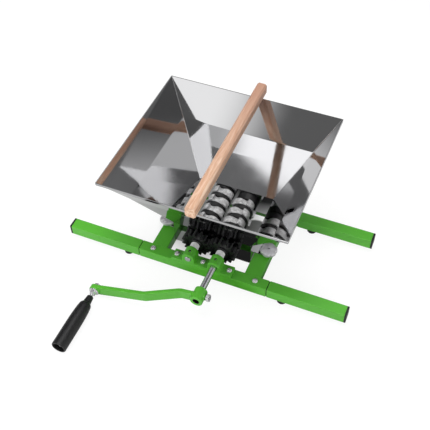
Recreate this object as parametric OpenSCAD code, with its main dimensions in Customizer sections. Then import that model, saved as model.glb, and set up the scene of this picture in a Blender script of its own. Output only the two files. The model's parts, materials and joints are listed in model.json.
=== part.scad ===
// Hand-cranked apple scratter: a sheet hopper on a square-tube frame, over two
// geared rollers of hooked wheels, turned by a crank at the front.
// X runs along the rails, Y from the crank at the front (-Y) to the rear, Z is up.
// The origin lies on the floor at the centre of the four feet.

/* [Frame] */
// Length of a rail over its two end caps
frame_length = 650; // [560:5:800]
// Outer size of the square rail tube
tube = 26; // [25:0.5:30]
// Wall of all frame tubes
tube_wall = 1.5; // [1:0.25:2]
// Length of a rail's centre section, between the two legs
centre_length = 300; // [290:5:330]
// Width of a cross-member across the rails' direction
cross_width = 36; // [34:1:42]
// Diameter of the frame's bolts
bolt_d = 6; // [5:0.5:6.5]
// Distance of a leg's bolt from the end of the centre section
leg_bolt_inset = 30; // [24:1:36]
// Thickness of an end cap's head
cap_head = 3; // [2:0.5:6]
// Length of an end cap's plug inside the tube
cap_plug = 12; // [8:1:20]

/* [Feet] */
// Distance between the feet along a rail
foot_span = 365; // [350:5:400]
// Height of a rubber foot
foot_height = 12; // [9:1:20]
// Diameter of a foot where it meets the rail
foot_top_d = 24; // [18:1:26]
// Diameter of a foot on the floor
foot_floor_d = 22; // [16:1:24]
// Diameter of a foot's screw
foot_screw_d = 5; // [4:0.5:6]

/* [Hopper] */
// Length of the rim along the rails
hopper_length = 400; // [360:5:440]
// Width of the rim from front to rear
hopper_width = 358; // [340:2:364]
// Length of the hopper at its fold
fold_length = 311; // [290:1:330]
// Width of the hopper at its fold
fold_width = 270; // [250:1:290]
// Length of the opening above the rollers
opening_length = 180; // [170:1:190]
// Width of the opening above the rollers
opening_width = 144; // [116:1:176]
// Height of the sloping walls
hopper_height = 187; // [170:1:220]
// Depth of the fold below the rim
fold_depth = 72; // [60:1:90]
// Thickness of the steel sheet
sheet = 1.2; // [0.8:0.1:1.5]
// Height of the opening above the top of the rails
skirt_rise = 46; // [44:1:52]
// Reach of the front and rear skirts below the top of the rails
skirt_drop = 13; // [8:1:16]
// Height of the hem folded down round the rim
hem_height = 6; // [4:1:10]

/* [Rollers] */
// Diameter of both shafts
shaft_d = 14; // [13:0.5:15]
// Distance between the two shafts
shaft_gap = 60; // [60:0.5:63]
// Height of the shafts above the top of the rails
shaft_rise = 19; // [18:0.5:21]
// Radius over the tips of a hooked wheel
cutter_tip_r = 29; // [27:0.5:29.5]
// Radius at the root of a hook
cutter_root_r = 20; // [17:0.5:22]
// Width of a hooked wheel
cutter_width = 18; // [16:0.5:19]
// Distance from one hooked wheel to the next on a shaft
cutter_pitch = 29; // [28:0.25:29.5]
// Hooks on a wheel
hooks = 4; // [3:1:6]
// Radius of the spacers between the wheels
spacer_r = 25; // [18:0.5:26]

/* [Gears] */
// Teeth on each gear
teeth = 15; // [13:1:18]
// Width of a gear
gear_width = 16; // [12:0.5:18]
// Clearance between the gears and the front skirt
gear_clear = 4.5; // [4:0.25:6]
// Distance from the front block to the gears
block_to_gear = 16.8; // [12:0.1:24]

/* [Bearing blocks] */
// Length of a bearing block
block_length = 140; // [136:1:150]
// Thickness of a block's flange
block_flange = 8; // [6:0.5:10]
// Radius of the arch over a shaft
arch_r = 14.5; // [13.5:0.5:15.5]
// Outer diameter of a bush
bush_d = 20; // [18:0.5:22]
// Thickness of the block's outer face in front of a bush
block_face = 4; // [3:0.5:6]
// Distance of the outer bolts from the block's middle
block_bolt_x = 61; // [58:0.5:64]
// Diameter of an oil hole
oil_hole_d = 5; // [3:0.5:6]

/* [Crank] */
// Distance from the shaft to the grip
crank_throw = 230; // [200:5:260]
// Distance from the front block to the back of the hub
crank_reach = 63.5; // [60:0.5:90]
// Diameter of the hub
hub_d = 28; // [26:0.5:32]
// Length of the hub
hub_length = 30; // [26:1:36]
// Height of the crank bar
bar_height = 24; // [18:0.5:25]
// Thickness of the crank bar
bar_thick = 8; // [6:0.5:10]
// Distance from the shaft to the first bend
bend_near = 40; // [34:1:50]
// Distance from the shaft to the second bend
bend_far = 113; // [100:1:130]
// Forward step of the bar at the second bend
bend_step = 28; // [20:1:34]
// Forward step of the bar at the grip
tip_step = 39; // [34:1:46]
// Length of the grip
grip_length = 134.5; // [110:0.5:150]
// Radius of the grip at its free end
grip_r = 16; // [14:0.5:18]
// Diameter of the bolt through the grip
grip_bolt_d = 8; // [6:0.5:9]

/* [Knobs] */
// Diameter over a knob's lobes
knob_d = 38; // [32:1:40]
// Height of a knob
knob_height = 14; // [12:0.5:18]
// Lobes on a knob
knob_lobes = 6; // [5:1:8]
// Diameter of a knob's stud
stud_d = 6; // [5:0.5:6.5]
// Distance of a knob from the inner face of the cross-member
knob_inset = 29; // [28:0.5:29.5]
// Distance of a knob in front of and behind the hopper's middle
knob_y = 41; // [38:0.5:46]

/* [Pusher bar] */
// Mean reach of the wooden bar past the rim, in front and behind
pusher_overhang = 15; // [6:0.5:25]
// Width of the wooden bar
pusher_width = 22; // [16:1:30]
// Height of the wooden bar
pusher_height = 26; // [16:1:30]
// Chamfer along the bar's edges
pusher_chamfer = 4; // [2:0.5:6]
// Place of the bar along the rim
pusher_x = 10; // [-40:1:40]

/* [Hidden] */

// Overrun that carries a cut past the face that it opens
over = 1;
// Radial clearance of a bolt or an inner tube in its hole
hole_gap = 0.15;
// Radial clearance of a screw in its thread
thread_gap = 0.05;
// Radial running clearance of the shafts and of the grip
run_gap = 0.05;
// Clearance between faces that turn past each other
face_gap = 0.3;
// Clearance between the rear skirt and the rear rail
rear_gap = 0.3;
// Clearance between the hopper's skirts and the cross-members
cross_gap = 0.8;
// Facets for round parts
$fn = 48;
// Facets for small screws and holes
small_fn = 24;

// Heights above the floor
rail_top = foot_height + tube;
rail_mid = foot_height + tube/2;
shaft_z = rail_top + shaft_rise;
opening_z = rail_top + skirt_rise;
fold_z = opening_z + hopper_height - fold_depth;
rim_z = opening_z + hopper_height;

// Places from front to rear: the rails stand as far apart as the gears and the hopper need
rail_spacing = tube + block_to_gear + gear_width + gear_clear + 2*sheet + opening_width + rear_gap;
front_rail_y = -rail_spacing/2;
rear_rail_y = rail_spacing/2;
block_front_y = front_rail_y - tube/2;
block_rear_y = rear_rail_y + tube/2;
hopper_y = rear_rail_y - tube/2 - rear_gap - sheet - opening_width/2;
front_skirt_y = hopper_y - opening_width/2 - sheet;
rear_skirt_y = hopper_y + opening_width/2;
gear_back_y = front_skirt_y - gear_clear;
gear_front_y = gear_back_y - gear_width;

// Places along the rails
shaft_x = shaft_gap/2;
cross_inner_x = opening_length/2 + sheet + cross_gap;
cross_mid_x = cross_inner_x + cross_width/2;
leg_bolt_x = centre_length/2 - leg_bolt_inset;
foot_x = foot_span/2;
knob_x = cross_inner_x + knob_inset;

// Joiners inside the legs
joiner_size = tube - 2*tube_wall - 2*hole_gap;
joiner_wall = 1.8;
joiner_margin = 14;

// Bolt heads, nuts and screws
bolt_head_d = 12.5;
bolt_head_h = 4.5;
bolt_dome_r = 9;
bolt_tail = 3;
nut_af = 10;
nut_h = 5;
recess_width = 1.4;
recess_length = 7;
recess_depth = 2;
foot_head_d = 9;
foot_head_h = 3;
foot_bore_d = 11;
foot_bore_depth = 6;
foot_screw_tail = 1.5;

// Hopper flanges, ears, hem and play round the turning keys
slot_gap = 1.6;
flange_width = 14;
flange_length = 104;
ear_width = 22;
ear_edge = 7;
hem_gap = 1.5;

// Hooked wheels and their places
cutter_clear = 0.7;
end_spacer = 1;
cutter_room = opening_width - 2*cutter_clear - 2*end_spacer;
driven_count = floor((cutter_room + cutter_pitch - cutter_width)/cutter_pitch);
drive_count = driven_count - 1;
hook_rise_share = 0.9;
hook_land_share = 0.8;
hook_pocket_share = 0.85;
hook_steps = 10;

// Gear teeth, cut for a 25 degree pressure angle with some play
gear_module = shaft_gap/teeth;
pressure_angle = 25;
gear_play = 0.3;
tooth_top_share = 0.9;
tooth_foot_share = 1.15;
flank_steps = 6;
pitch_r = shaft_gap/2;
base_r = pitch_r*cos(pressure_angle);
tooth_tip_r = pitch_r + tooth_top_share*gear_module;
tooth_foot_r = pitch_r - tooth_foot_share*gear_module;
gear_hub_r = 15;
gear_hub_recess = 3;
gear_rim_r = 22;

// Keys and retaining rings
key_width = 5;
key_depth = 3;
key_height = 5;
key_gap = 0.1;
key_top = shaft_d/2 - key_depth + key_height;
slot_r = norm([key_top, key_width/2]) + slot_gap;
ring_thick = 1.2;
ring_groove = 0.8;
ring_width = 3.5;
shaft_tail = 5;
driven_nose = 1;

// Crank hub, bar and grip
hub_y = block_front_y - crank_reach - hub_length;
shaft_recess = 9;
bar_shift = 3;
bar_y = hub_y + hub_length/2 - bar_shift;
bend_r = 24;
bend_steps = 6;
eye_thick = 10.5;
eye_y = bar_y - tip_step;
thumb_d = 6;
thumb_stub = 3;
thumb_head_d = 16;
thumb_head_h = 6;
thumb_boss_d = 13;
thumb_boss_h = 2;
thumb_notch = 1;
thumb_notches = 12;
grip_floor_gap = 0.2;
grip_gap = 7.5;
grip_washer_d = 22;
grip_washer_h = 2;
grip_nut_af = 13;
grip_nut_h = 6.5;
grip_head_d = 13;
grip_head_h = 5;
grip_recess_r = 12.5;
grip_recess = 12;
grip_nut_front_y = eye_y - eye_thick/2 - grip_washer_h - grip_nut_h;
grip_y = grip_nut_front_y - grip_gap;
droop = asin((shaft_z - grip_r - grip_floor_gap)/crank_throw);

// Knob shape
knob_base_d = 18;
knob_base_h = 4;
knob_core_d = 31;
knob_dome_r = 46;
lobe_root = 2;
knob_dimple_d = 4;
knob_dimple = 1.5;
stud_tail = 3;
knob_gap = 0.2;

// Length of the wooden bar, its seat on the rim and its place from front to rear
pusher_length = hopper_width + 2*pusher_overhang;
pusher_gap = 0.3;
pusher_shift = 3;

// Square tube along X from x0 to x1, centred on y = 0 and z = 0
module tube_x(x0, x1, size, wall) {
  translate([(x0 + x1)/2, 0, 0]) difference() {
    cube([x1 - x0, size, size], center = true);
    cube([x1 - x0 + 2*over, size - 2*wall, size - 2*wall], center = true);
  }
}

// Round hole along Z, through h each way from its place
module hole_z(d, h) {
  cylinder(d = d, h = 2*h, center = true, $fn = small_fn);
}

// Round bar along Y from y0 to y1
module rod_y(r, y0, y1) {
  translate([0, y1, 0]) rotate([90, 0, 0]) cylinder(r = r, h = y1 - y0);
}

// Flat plate along Y from y0 to y1, cut from the outline that is its child
module plate_y(y0, y1) {
  translate([0, y1, 0]) rotate([90, 0, 0]) linear_extrude(height = y1 - y0) children();
}

// Hexagonal nut on z = 0, bored for a screw of diameter d
module nut(af, h, d) {
  difference() {
    cylinder(d = af/cos(30), h = h, $fn = 6);
    hole_z(d + 2*thread_gap, h + over);
  }
}

// Domed bolt with a cross recess: its head stands on z = 0, its shank hangs down
module domed_bolt(shank) {
  difference() {
    union() {
      intersection() {
        cylinder(d = bolt_head_d, h = bolt_head_h);
        translate([0, 0, bolt_head_h - bolt_dome_r]) sphere(r = bolt_dome_r);
      }
      translate([0, 0, -shank]) cylinder(d = bolt_d, h = shank + over, $fn = small_fn);
    }
    for (turn = [0, 90]) rotate([0, 0, turn])
      translate([-recess_length/2, -recess_width/2, bolt_head_h - recess_depth])
        cube([recess_length, recess_width, recess_depth + over]);
  }
}

// Domed bolt from z = top down through the rail, with its nut below
module rail_bolt(top) {
  translate([0, 0, top]) domed_bolt(top - foot_height + nut_h + bolt_tail);
  translate([0, 0, foot_height - nut_h]) nut(nut_af, nut_h, bolt_d);
}

// Centre section of a rail, bored for the block's and the legs' bolts
module centre_rail() {
  difference() {
    tube_x(-centre_length/2, centre_length/2, tube, tube_wall);
    for (x = [-leg_bolt_x, -block_bolt_x, 0, block_bolt_x, leg_bolt_x])
      translate([x, 0, 0]) hole_z(bolt_d + 2*hole_gap, tube/2 + over);
  }
}

module front_rail() {
  color("limegreen") translate([0, front_rail_y, rail_mid]) centre_rail();
}

module rear_rail() {
  color("limegreen") translate([0, rear_rail_y, rail_mid]) centre_rail();
}

// Cross-member on the right, bored on top for the two knob studs
module cross_member() {
  length = rail_spacing - tube;
  translate([cross_mid_x, 0, rail_mid]) difference() {
    cube([cross_width, length, tube], center = true);
    cube([cross_width - 2*tube_wall, length + 2*over, tube - 2*tube_wall], center = true);
    for (y = [-knob_y, knob_y])
      translate([knob_x - cross_mid_x, hopper_y + y, tube/2])
        hole_z(stud_d + 2*hole_gap, tube_wall + over);
  }
}

module left_cross_member() {
  color("limegreen") mirror([1, 0, 0]) cross_member();
}

module right_cross_member() {
  color("limegreen") cross_member();
}

// Leg tube to the right of a centre section, bored below for the foot's screw
module leg(y) {
  translate([0, y, rail_mid]) difference() {
    tube_x(centre_length/2, frame_length/2 - cap_head, tube, tube_wall);
    translate([foot_x, 0, -tube/2]) hole_z(foot_screw_d + 2*hole_gap, tube_wall + over);
  }
}

module front_left_leg() {
  color("limegreen") mirror([1, 0, 0]) leg(front_rail_y);
}

module front_right_leg() {
  color("limegreen") leg(front_rail_y);
}

module rear_left_leg() {
  color("limegreen") mirror([1, 0, 0]) leg(rear_rail_y);
}

module rear_right_leg() {
  color("limegreen") leg(rear_rail_y);
}

// The same thing at both ends of both rails
module at_four_ends() {
  for (y = [front_rail_y, rear_rail_y]) translate([0, y, 0]) {
    children();
    mirror([1, 0, 0]) children();
  }
}

// Inner tube that joins a leg to the centre section
module leg_joiner() {
  translate([0, 0, rail_mid]) difference() {
    tube_x(leg_bolt_x - joiner_margin, foot_x + joiner_margin, joiner_size, joiner_wall);
    translate([leg_bolt_x, 0, 0]) hole_z(bolt_d + 2*hole_gap, tube/2);
    translate([foot_x, 0, -joiner_size/2])
      hole_z(foot_screw_d + 2*thread_gap, joiner_wall + over);
  }
}

module leg_joiners() {
  color("gray") at_four_ends() leg_joiner();
}

// Plastic cap: a head flush with the tube and a hollow plug inside it
module end_cap() {
  plug = tube - 2*tube_wall - 2*hole_gap;
  translate([frame_length/2, 0, rail_mid]) {
    translate([-cap_head/2, 0, 0]) cube([cap_head, tube, tube], center = true);
    translate([-cap_head, 0, 0]) tube_x(-cap_plug, 0, plug, 2*tube_wall);
  }
}

module leg_end_caps() {
  color("black") at_four_ends() end_cap();
}

// Tapered rubber foot with a counterbore for its screw
module foot() {
  translate([foot_x, 0, 0]) difference() {
    cylinder(d1 = foot_floor_d, d2 = foot_top_d, h = foot_height);
    hole_z(foot_bore_d, foot_bore_depth);
    hole_z(foot_screw_d + 2*hole_gap, foot_height + over);
  }
}

module rubber_feet() {
  color("black") at_four_ends() foot();
}

// Screw from the foot's counterbore into the joiner's lower wall
module foot_screw() {
  reach = foot_height + tube_wall + hole_gap + joiner_wall + foot_screw_tail;
  translate([foot_x, 0, foot_bore_depth]) {
    translate([0, 0, -foot_head_h]) cylinder(d = foot_head_d, h = foot_head_h, $fn = small_fn);
    translate([0, 0, -over]) cylinder(d = foot_screw_d, h = reach - foot_bore_depth + over, $fn = small_fn);
  }
}

module foot_screws() {
  color("silver") at_four_ends() foot_screw();
}

module leg_bolts() {
  color("silver") at_four_ends() translate([leg_bolt_x, 0, 0]) rail_bolt(rail_top);
}

// Solid with four sloping sides: half sizes top at z1 and low at z0
module frustum(top, z1, low, z0) {
  corner_shares = [[-1, -1], [1, -1], [1, 1], [-1, 1]];
  polyhedron(
    points = concat(
      [for (c = corner_shares) [c.x*low.x, c.y*low.y, z0]],
      [for (c = corner_shares) [c.x*top.x, c.y*top.y, z1]]),
    faces = [[0, 1, 2, 3], [7, 6, 5, 4], [4, 5, 1, 0], [5, 6, 2, 1], [6, 7, 3, 2], [7, 4, 0, 3]]);
}

// Half sizes of the hopper's inner faces at the rim, the fold and the opening
opening_half = [opening_length/2, opening_width/2];
slope_wall = sheet/sin(atan(2*(hopper_height - fold_depth)/(fold_length - opening_length)));
wall_pair = [slope_wall, slope_wall];
fold_half = [fold_length/2, fold_width/2] - wall_pair;
rim_half = [hopper_length/2, hopper_width/2] - wall_pair;
rim_slope = (rim_half - fold_half)/fold_depth;

// Sloping walls: an outer form less the inner one, which runs past the rim
module hopper_walls() {
  difference() {
    union() {
      frustum(rim_half + wall_pair, rim_z, fold_half + wall_pair, fold_z);
      frustum(fold_half + wall_pair, fold_z, opening_half + [sheet, sheet], opening_z);
    }
    frustum(rim_half + over*rim_slope, rim_z + over, fold_half, fold_z);
    frustum(fold_half, fold_z, opening_half, opening_z);
    translate([-opening_half.x, -opening_half.y, opening_z - over])
      cube([opening_length, opening_width, over]);
  }
}

// Hem folded outwards and down round the rim
module hopper_hem() {
  difference() {
    translate([-hopper_length/2, -hopper_width/2, rim_z - hem_height])
      cube([hopper_length, hopper_width, hem_height]);
    translate([-hopper_length/2 + hem_gap, -hopper_width/2 + hem_gap, rim_z - hem_height - over])
      cube([hopper_length - 2*hem_gap, hopper_width - 2*hem_gap, hem_height + 2*over]);
  }
}

// Front or rear skirt, slotted from below so that it drops over the shafts
module long_skirt(y0) {
  bottom = rail_top - skirt_drop;
  difference() {
    translate([-opening_half.x - sheet, y0, bottom])
      cube([opening_length + 2*sheet, sheet, opening_z - bottom + slope_wall]);
    for (x = [-shaft_x, shaft_x]) translate([x, 0, shaft_z]) {
      rod_y(slot_r, y0 - over, y0 + sheet + over);
      translate([-slot_r, y0 - over, bottom - shaft_z - over])
        cube([2*slot_r, sheet + 2*over, shaft_z - bottom + over]);
    }
  }
}

// Right side skirt with its flange and two ears on the cross-member
module side_skirt() {
  ear_length = knob_inset + ear_edge + cross_gap + sheet;
  translate([opening_half.x, 0, rail_top]) {
    translate([0, -opening_half.y - sheet, 0]) cube([sheet, opening_width + 2*sheet, skirt_rise]);
    translate([0, -flange_length/2, 0]) cube([flange_width, flange_length, sheet]);
    for (y = [-knob_y, knob_y]) translate([0, y - ear_width/2, 0])
      cube([ear_length, ear_width, sheet]);
  }
}

module hopper() {
  color("lightgray") difference() {
    translate([0, hopper_y, 0]) {
      hopper_walls();
      hopper_hem();
      long_skirt(-opening_half.y - sheet);
      long_skirt(opening_half.y);
      side_skirt();
      mirror([1, 0, 0]) side_skirt();
    }
    for (x = [-knob_x, knob_x], y = [-knob_y, knob_y])
      translate([x, hopper_y + y, rail_top]) hole_z(stud_d + 2*hole_gap, sheet + over);
  }
}

// Weld nuts inside the cross-members, under the knobs
module knob_nuts() {
  color("gray") for (x = [-knob_x, knob_x], y = [-knob_y, knob_y])
    translate([x, hopper_y + y, rail_top - tube_wall - nut_h]) rotate([0, 0, 30])
      nut(nut_af, nut_h, stud_d);
}

// Star knob with a domed top, a dimple and its stud
module star_knob() {
  lobe_r = (knob_d - knob_core_d)/2 + lobe_root;
  stud_length = knob_gap + sheet + tube_wall + nut_h + stud_tail;
  difference() {
    union() {
      cylinder(d = knob_base_d, h = knob_base_h + over);
      intersection() {
        translate([0, 0, knob_base_h]) linear_extrude(height = knob_height - knob_base_h) {
          circle(d = knob_core_d);
          for (i = [0 : knob_lobes - 1]) rotate(i*360/knob_lobes)
            translate([knob_d/2 - lobe_r, 0]) circle(r = lobe_r);
        }
        translate([0, 0, knob_height - knob_dome_r]) sphere(r = knob_dome_r, $fn = 96);
      }
      translate([0, 0, -stud_length]) cylinder(d = stud_d, h = stud_length + over, $fn = small_fn);
    }
    translate([0, 0, knob_height]) hole_z(knob_dimple_d, knob_dimple);
  }
}

// A knob on its ear: side is -1 at the left and 1 at the right, end -1 in front
module placed_knob(side, end) {
  color("silver")
    translate([side*knob_x, hopper_y + end*knob_y, rail_top + sheet + knob_gap]) star_knob();
}

module front_left_knob() {
  placed_knob(-1, -1);
}

module front_right_knob() {
  placed_knob(1, -1);
}

module rear_left_knob() {
  placed_knob(-1, 1);
}

module rear_right_knob() {
  placed_knob(1, 1);
}

// Bearing block on the front rail, its face towards -Y, seated on z = 0
module bearing_block() {
  difference() {
    union() {
      translate([-block_length/2, -tube/2, 0]) cube([block_length, tube, block_flange]);
      for (x = [-shaft_x, shaft_x]) translate([x, 0, shaft_rise]) {
        translate([-arch_r, -tube/2, -shaft_rise]) cube([2*arch_r, tube, shaft_rise]);
        rod_y(arch_r, -tube/2, tube/2);
      }
    }
    for (x = [-shaft_x, shaft_x]) translate([x, 0, shaft_rise]) {
      rod_y(shaft_d/2 + hole_gap, -tube/2 - over, tube/2 + over);
      rod_y(bush_d/2, -tube/2 + block_face, tube/2 + over);
      cylinder(d = oil_hole_d, h = arch_r + over, $fn = small_fn);
    }
    for (x = [-block_bolt_x, 0, block_bolt_x])
      translate([x, 0, 0]) hole_z(bolt_d + 2*hole_gap, block_flange + over);
  }
}

module front_bearing_block() {
  color("limegreen") translate([0, front_rail_y, rail_top]) bearing_block();
}

module rear_bearing_block() {
  color("limegreen") translate([0, rear_rail_y, rail_top]) mirror([0, 1, 0]) bearing_block();
}

// Bushes for both shafts, from y0 to y1
module bushes(y0, y1) {
  for (x = [-shaft_x, shaft_x]) translate([x, 0, shaft_z]) difference() {
    rod_y(bush_d/2, y0, y1);
    rod_y(shaft_d/2 + run_gap, y0 - over, y1 + over);
  }
}

module front_bushes() {
  color("white") bushes(block_front_y + block_face, gear_front_y - face_gap);
}

module rear_bushes() {
  color("white") bushes(rear_rail_y - tube/2, block_rear_y - block_face);
}

module block_bolts() {
  color("silver") for (x = [-block_bolt_x, 0, block_bolt_x], y = [front_rail_y, rear_rail_y])
    translate([x, y, 0]) rail_bolt(rail_top + block_flange);
}

// Ends of the keys, which hold the gear and all wheels of a shaft
key_front_y = gear_front_y + face_gap;
key_rear_y = rear_skirt_y - cutter_clear - face_gap;

// Roller shaft on its axis, with the keyway and the rear ring's groove
module roller_shaft(front_y) {
  ring_y = block_rear_y + face_gap;
  difference() {
    rod_y(shaft_d/2, front_y, block_rear_y + shaft_tail);
    translate([-key_width/2 - key_gap, key_front_y, shaft_d/2 - key_depth])
      cube([key_width + 2*key_gap, key_rear_y - key_front_y, key_depth + over]);
    difference() {
      rod_y(shaft_d/2 + over, ring_y, ring_y + ring_thick);
      rod_y(shaft_d/2 - ring_groove, ring_y - over, ring_y + ring_thick + over);
    }
  }
}

module drive_shaft() {
  color("lightsteelblue") translate([shaft_x, 0, shaft_z]) roller_shaft(hub_y + shaft_recess);
}

module driven_shaft() {
  color("lightsteelblue") translate([-shaft_x, 0, shaft_z])
    roller_shaft(block_front_y - driven_nose);
}

// Square key, standing out of the shaft
module shaft_key() {
  translate([-key_width/2, key_front_y, shaft_d/2 - key_depth])
    cube([key_width, key_rear_y - key_front_y, key_height]);
}

module drive_key() {
  color("gray") translate([shaft_x, 0, shaft_z]) shaft_key();
}

module driven_key() {
  color("gray") translate([-shaft_x, 0, shaft_z]) shaft_key();
}

// Bore and keyway through a part that sits on a shaft from y0 to y1
module keyed_bore(y0, y1) {
  rod_y(shaft_d/2, y0 - over, y1 + over);
  translate([-key_width/2 - key_gap, y0 - over, 0])
    cube([key_width + 2*key_gap, y1 - y0 + 2*over, key_top + key_gap]);
}

// Split ring in the groove at the rear end of a shaft
module retaining_ring() {
  ring_y = block_rear_y + face_gap;
  inner_r = shaft_d/2 - ring_groove;
  outer_r = inner_r + ring_width;
  difference() {
    rod_y(outer_r, ring_y, ring_y + ring_thick);
    rod_y(inner_r, ring_y - over, ring_y + ring_thick + over);
    translate([-ring_width/2, ring_y - over, 0])
      cube([ring_width, ring_thick + 2*over, outer_r + over]);
  }
}

module drive_retaining_ring() {
  color("dimgray") translate([shaft_x, 0, shaft_z]) retaining_ring();
}

module driven_retaining_ring() {
  color("dimgray") translate([-shaft_x, 0, shaft_z]) retaining_ring();
}

// Involute function, in degrees
function involute(angle) = tan(angle)*180/PI - angle;

// Half the angle that a tooth spans at radius r
function tooth_half_angle(r) =
  (90/teeth - gear_play*90/(PI*pitch_r)) + involute(pressure_angle) - involute(acos(base_r/r));

// Point at radius r and angle a
function polar(r, a) = [r*cos(a), r*sin(a)];

// One tooth's outline, from its right foot over its tip to its left foot
function tooth_points(a) = concat(
  [polar(tooth_foot_r, a - tooth_half_angle(base_r))],
  [for (i = [0 : flank_steps]) let (r = base_r + (tooth_tip_r - base_r)*i/flank_steps)
    polar(r, a - tooth_half_angle(r))],
  [for (i = [flank_steps : -1 : 0]) let (r = base_r + (tooth_tip_r - base_r)*i/flank_steps)
    polar(r, a + tooth_half_angle(r))],
  [polar(tooth_foot_r, a + tooth_half_angle(base_r))]);

// Spur gear with a recess round its hub on the front face
module spur_gear() {
  outline = [for (i = [0 : teeth - 1]) each tooth_points(i*360/teeth)];
  difference() {
    plate_y(gear_front_y, gear_back_y) polygon(outline);
    difference() {
      rod_y(gear_rim_r, gear_front_y - over, gear_front_y + gear_hub_recess);
      rod_y(gear_hub_r, gear_front_y - 2*over, gear_front_y + gear_hub_recess + over);
    }
    keyed_bore(gear_front_y, gear_back_y);
  }
}

module drive_gear() {
  color("#202020") translate([shaft_x, 0, shaft_z]) spur_gear();
}

module driven_gear() {
  color("#202020") translate([-shaft_x, 0, shaft_z]) spur_gear();
}

// Hook outline: the radius swells to the tip, then steps back under it
function hook_points(start, span) = concat(
  [for (i = [0 : hook_steps]) let (s = i/hook_steps)
    polar(cutter_root_r + (cutter_tip_r - cutter_root_r)*sin(90*min(1, s/hook_rise_share)),
      start + span*hook_land_share*s)],
  [polar(cutter_root_r + (cutter_tip_r - cutter_root_r)/3, start + span*hook_land_share)],
  [polar(cutter_root_r, start + span*hook_pocket_share)]);

// Hooked wheel centred on y
module cutter(y) {
  span = 360/hooks;
  y0 = y - cutter_width/2;
  y1 = y + cutter_width/2;
  difference() {
    plate_y(y0, y1) polygon([for (k = [0 : hooks - 1]) each hook_points(k*span, span)]);
    keyed_bore(y0, y1);
  }
}

// Evenly pitched places of count wheels, about the hopper's middle
function cutter_places(count) =
  [for (i = [0 : count - 1]) hopper_y + (i - (count - 1)/2)*cutter_pitch];

module drive_cutters() {
  color("silver") translate([shaft_x, 0, shaft_z]) for (y = cutter_places(drive_count)) cutter(y);
}

module driven_cutters() {
  color("silver") translate([-shaft_x, 0, shaft_z]) mirror([1, 0, 0])
    for (y = cutter_places(driven_count)) cutter(y);
}

// Spacer ring from y0 to y1
module spacer(y0, y1) {
  difference() {
    rod_y(spacer_r, y0, y1);
    keyed_bore(y0, y1);
  }
}

// Spacers between count wheels, and one at each end of the roller
module roller_spacers(count) {
  places = cutter_places(count);
  half = cutter_width/2;
  for (i = [1 : count - 1]) spacer(places[i - 1] + half, places[i] - half);
  spacer(front_skirt_y + sheet + cutter_clear, places[0] - half);
  spacer(places[count - 1] + half, rear_skirt_y - cutter_clear);
}

module drive_spacers() {
  color("#202020") translate([shaft_x, 0, shaft_z]) roller_spacers(drive_count);
}

module driven_spacers() {
  color("#202020") translate([-shaft_x, 0, shaft_z]) roller_spacers(driven_count);
}

// Puts its child at the drive shaft with +X along the drooping crank
module at_crank() {
  translate([shaft_x, 0, shaft_z]) rotate([0, 180 - droop, 0]) children();
}

// Middle line of the crank bar: two bends carry it forward from the hub to the eye
bar_points = [[0, bar_y], [bend_near, bar_y], [bend_far, bar_y - bend_step], [crank_throw, eye_y]];

// Unit vector from point a to point b
function toward(a, b) = (b - a)/norm(b - a);

// Points along one side of the bar; side is 1 or -1, and each bend is an arc
function bar_side(side) = [
  for (i = [0 : len(bar_points) - 1])
    let (p = bar_points[i], last = len(bar_points) - 1)
    if (i == 0 || i == last)
      let (d = i == 0 ? toward(p, bar_points[1]) : toward(bar_points[last - 1], p))
      p + side*bar_thick/2*[-d.y, d.x]
    else
      each let (
        d0 = toward(bar_points[i - 1], p),
        d1 = toward(p, bar_points[i + 1]),
        a0 = atan2(d0.y, d0.x),
        a1 = atan2(d1.y, d1.x),
        bend = a1 > a0 ? 1 : -1,
        arc_start = p - d0*bend_r*tan(abs(a1 - a0)/2),
        centre = arc_start + bend*bend_r*[-d0.y, d0.x])
      [for (k = [0 : bend_steps]) let (a = a0 + (a1 - a0)*k/bend_steps)
        centre + (bend*bend_r - side*bar_thick/2)*[sin(a), -cos(a)]]
];

// Flat crank bar with a round, flat-faced eye at its end
module crank_bar() {
  near_side = bar_side(1);
  far_side = bar_side(-1);
  outline = concat(near_side, [for (i = [len(far_side) - 1 : -1 : 0]) far_side[i]]);
  linear_extrude(height = bar_height, center = true) polygon(outline);
  translate([crank_throw, 0, 0]) rod_y(bar_height/2, eye_y - eye_thick/2, eye_y + eye_thick/2);
}

// Hub, bar and the boss for the thumb screw, in one welded piece
module crank_arm() {
  screw_y = hub_y + hub_length/2;
  color("limegreen") at_crank() difference() {
    union() {
      rod_y(hub_d/2, hub_y, hub_y + hub_length);
      crank_bar();
      translate([0, screw_y, 0]) rotate([0, -90, 0])
        cylinder(d = thumb_boss_d, h = hub_d/2 + thumb_boss_h);
    }
    rod_y(shaft_d/2, hub_y - over, hub_y + hub_length + over);
    translate([0, screw_y, 0]) rotate([0, -90, 0])
      cylinder(d = thumb_d + 2*thread_gap, h = hub_d, $fn = small_fn);
    translate([crank_throw, 0, 0])
      rod_y(grip_bolt_d/2 + hole_gap, eye_y - eye_thick, eye_y + eye_thick);
  }
}

// Thumb screw that clamps the hub on the shaft, opposite the bar
module crank_thumb_screw() {
  start = shaft_d/2 + face_gap;
  head = hub_d/2 + thumb_boss_h + thumb_stub;
  color("silver") at_crank() translate([0, hub_y + hub_length/2, 0]) rotate([0, -90, 0]) {
    translate([0, 0, start]) cylinder(d = thumb_d, h = head - start + over, $fn = small_fn);
    translate([0, 0, head]) difference() {
      cylinder(d = thumb_head_d, h = thumb_head_h);
      for (i = [0 : thumb_notches - 1]) rotate([0, 0, i*360/thumb_notches])
        translate([thumb_head_d/2, 0, 0]) hole_z(2*thumb_notch, thumb_head_h + over);
    }
  }
}

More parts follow.
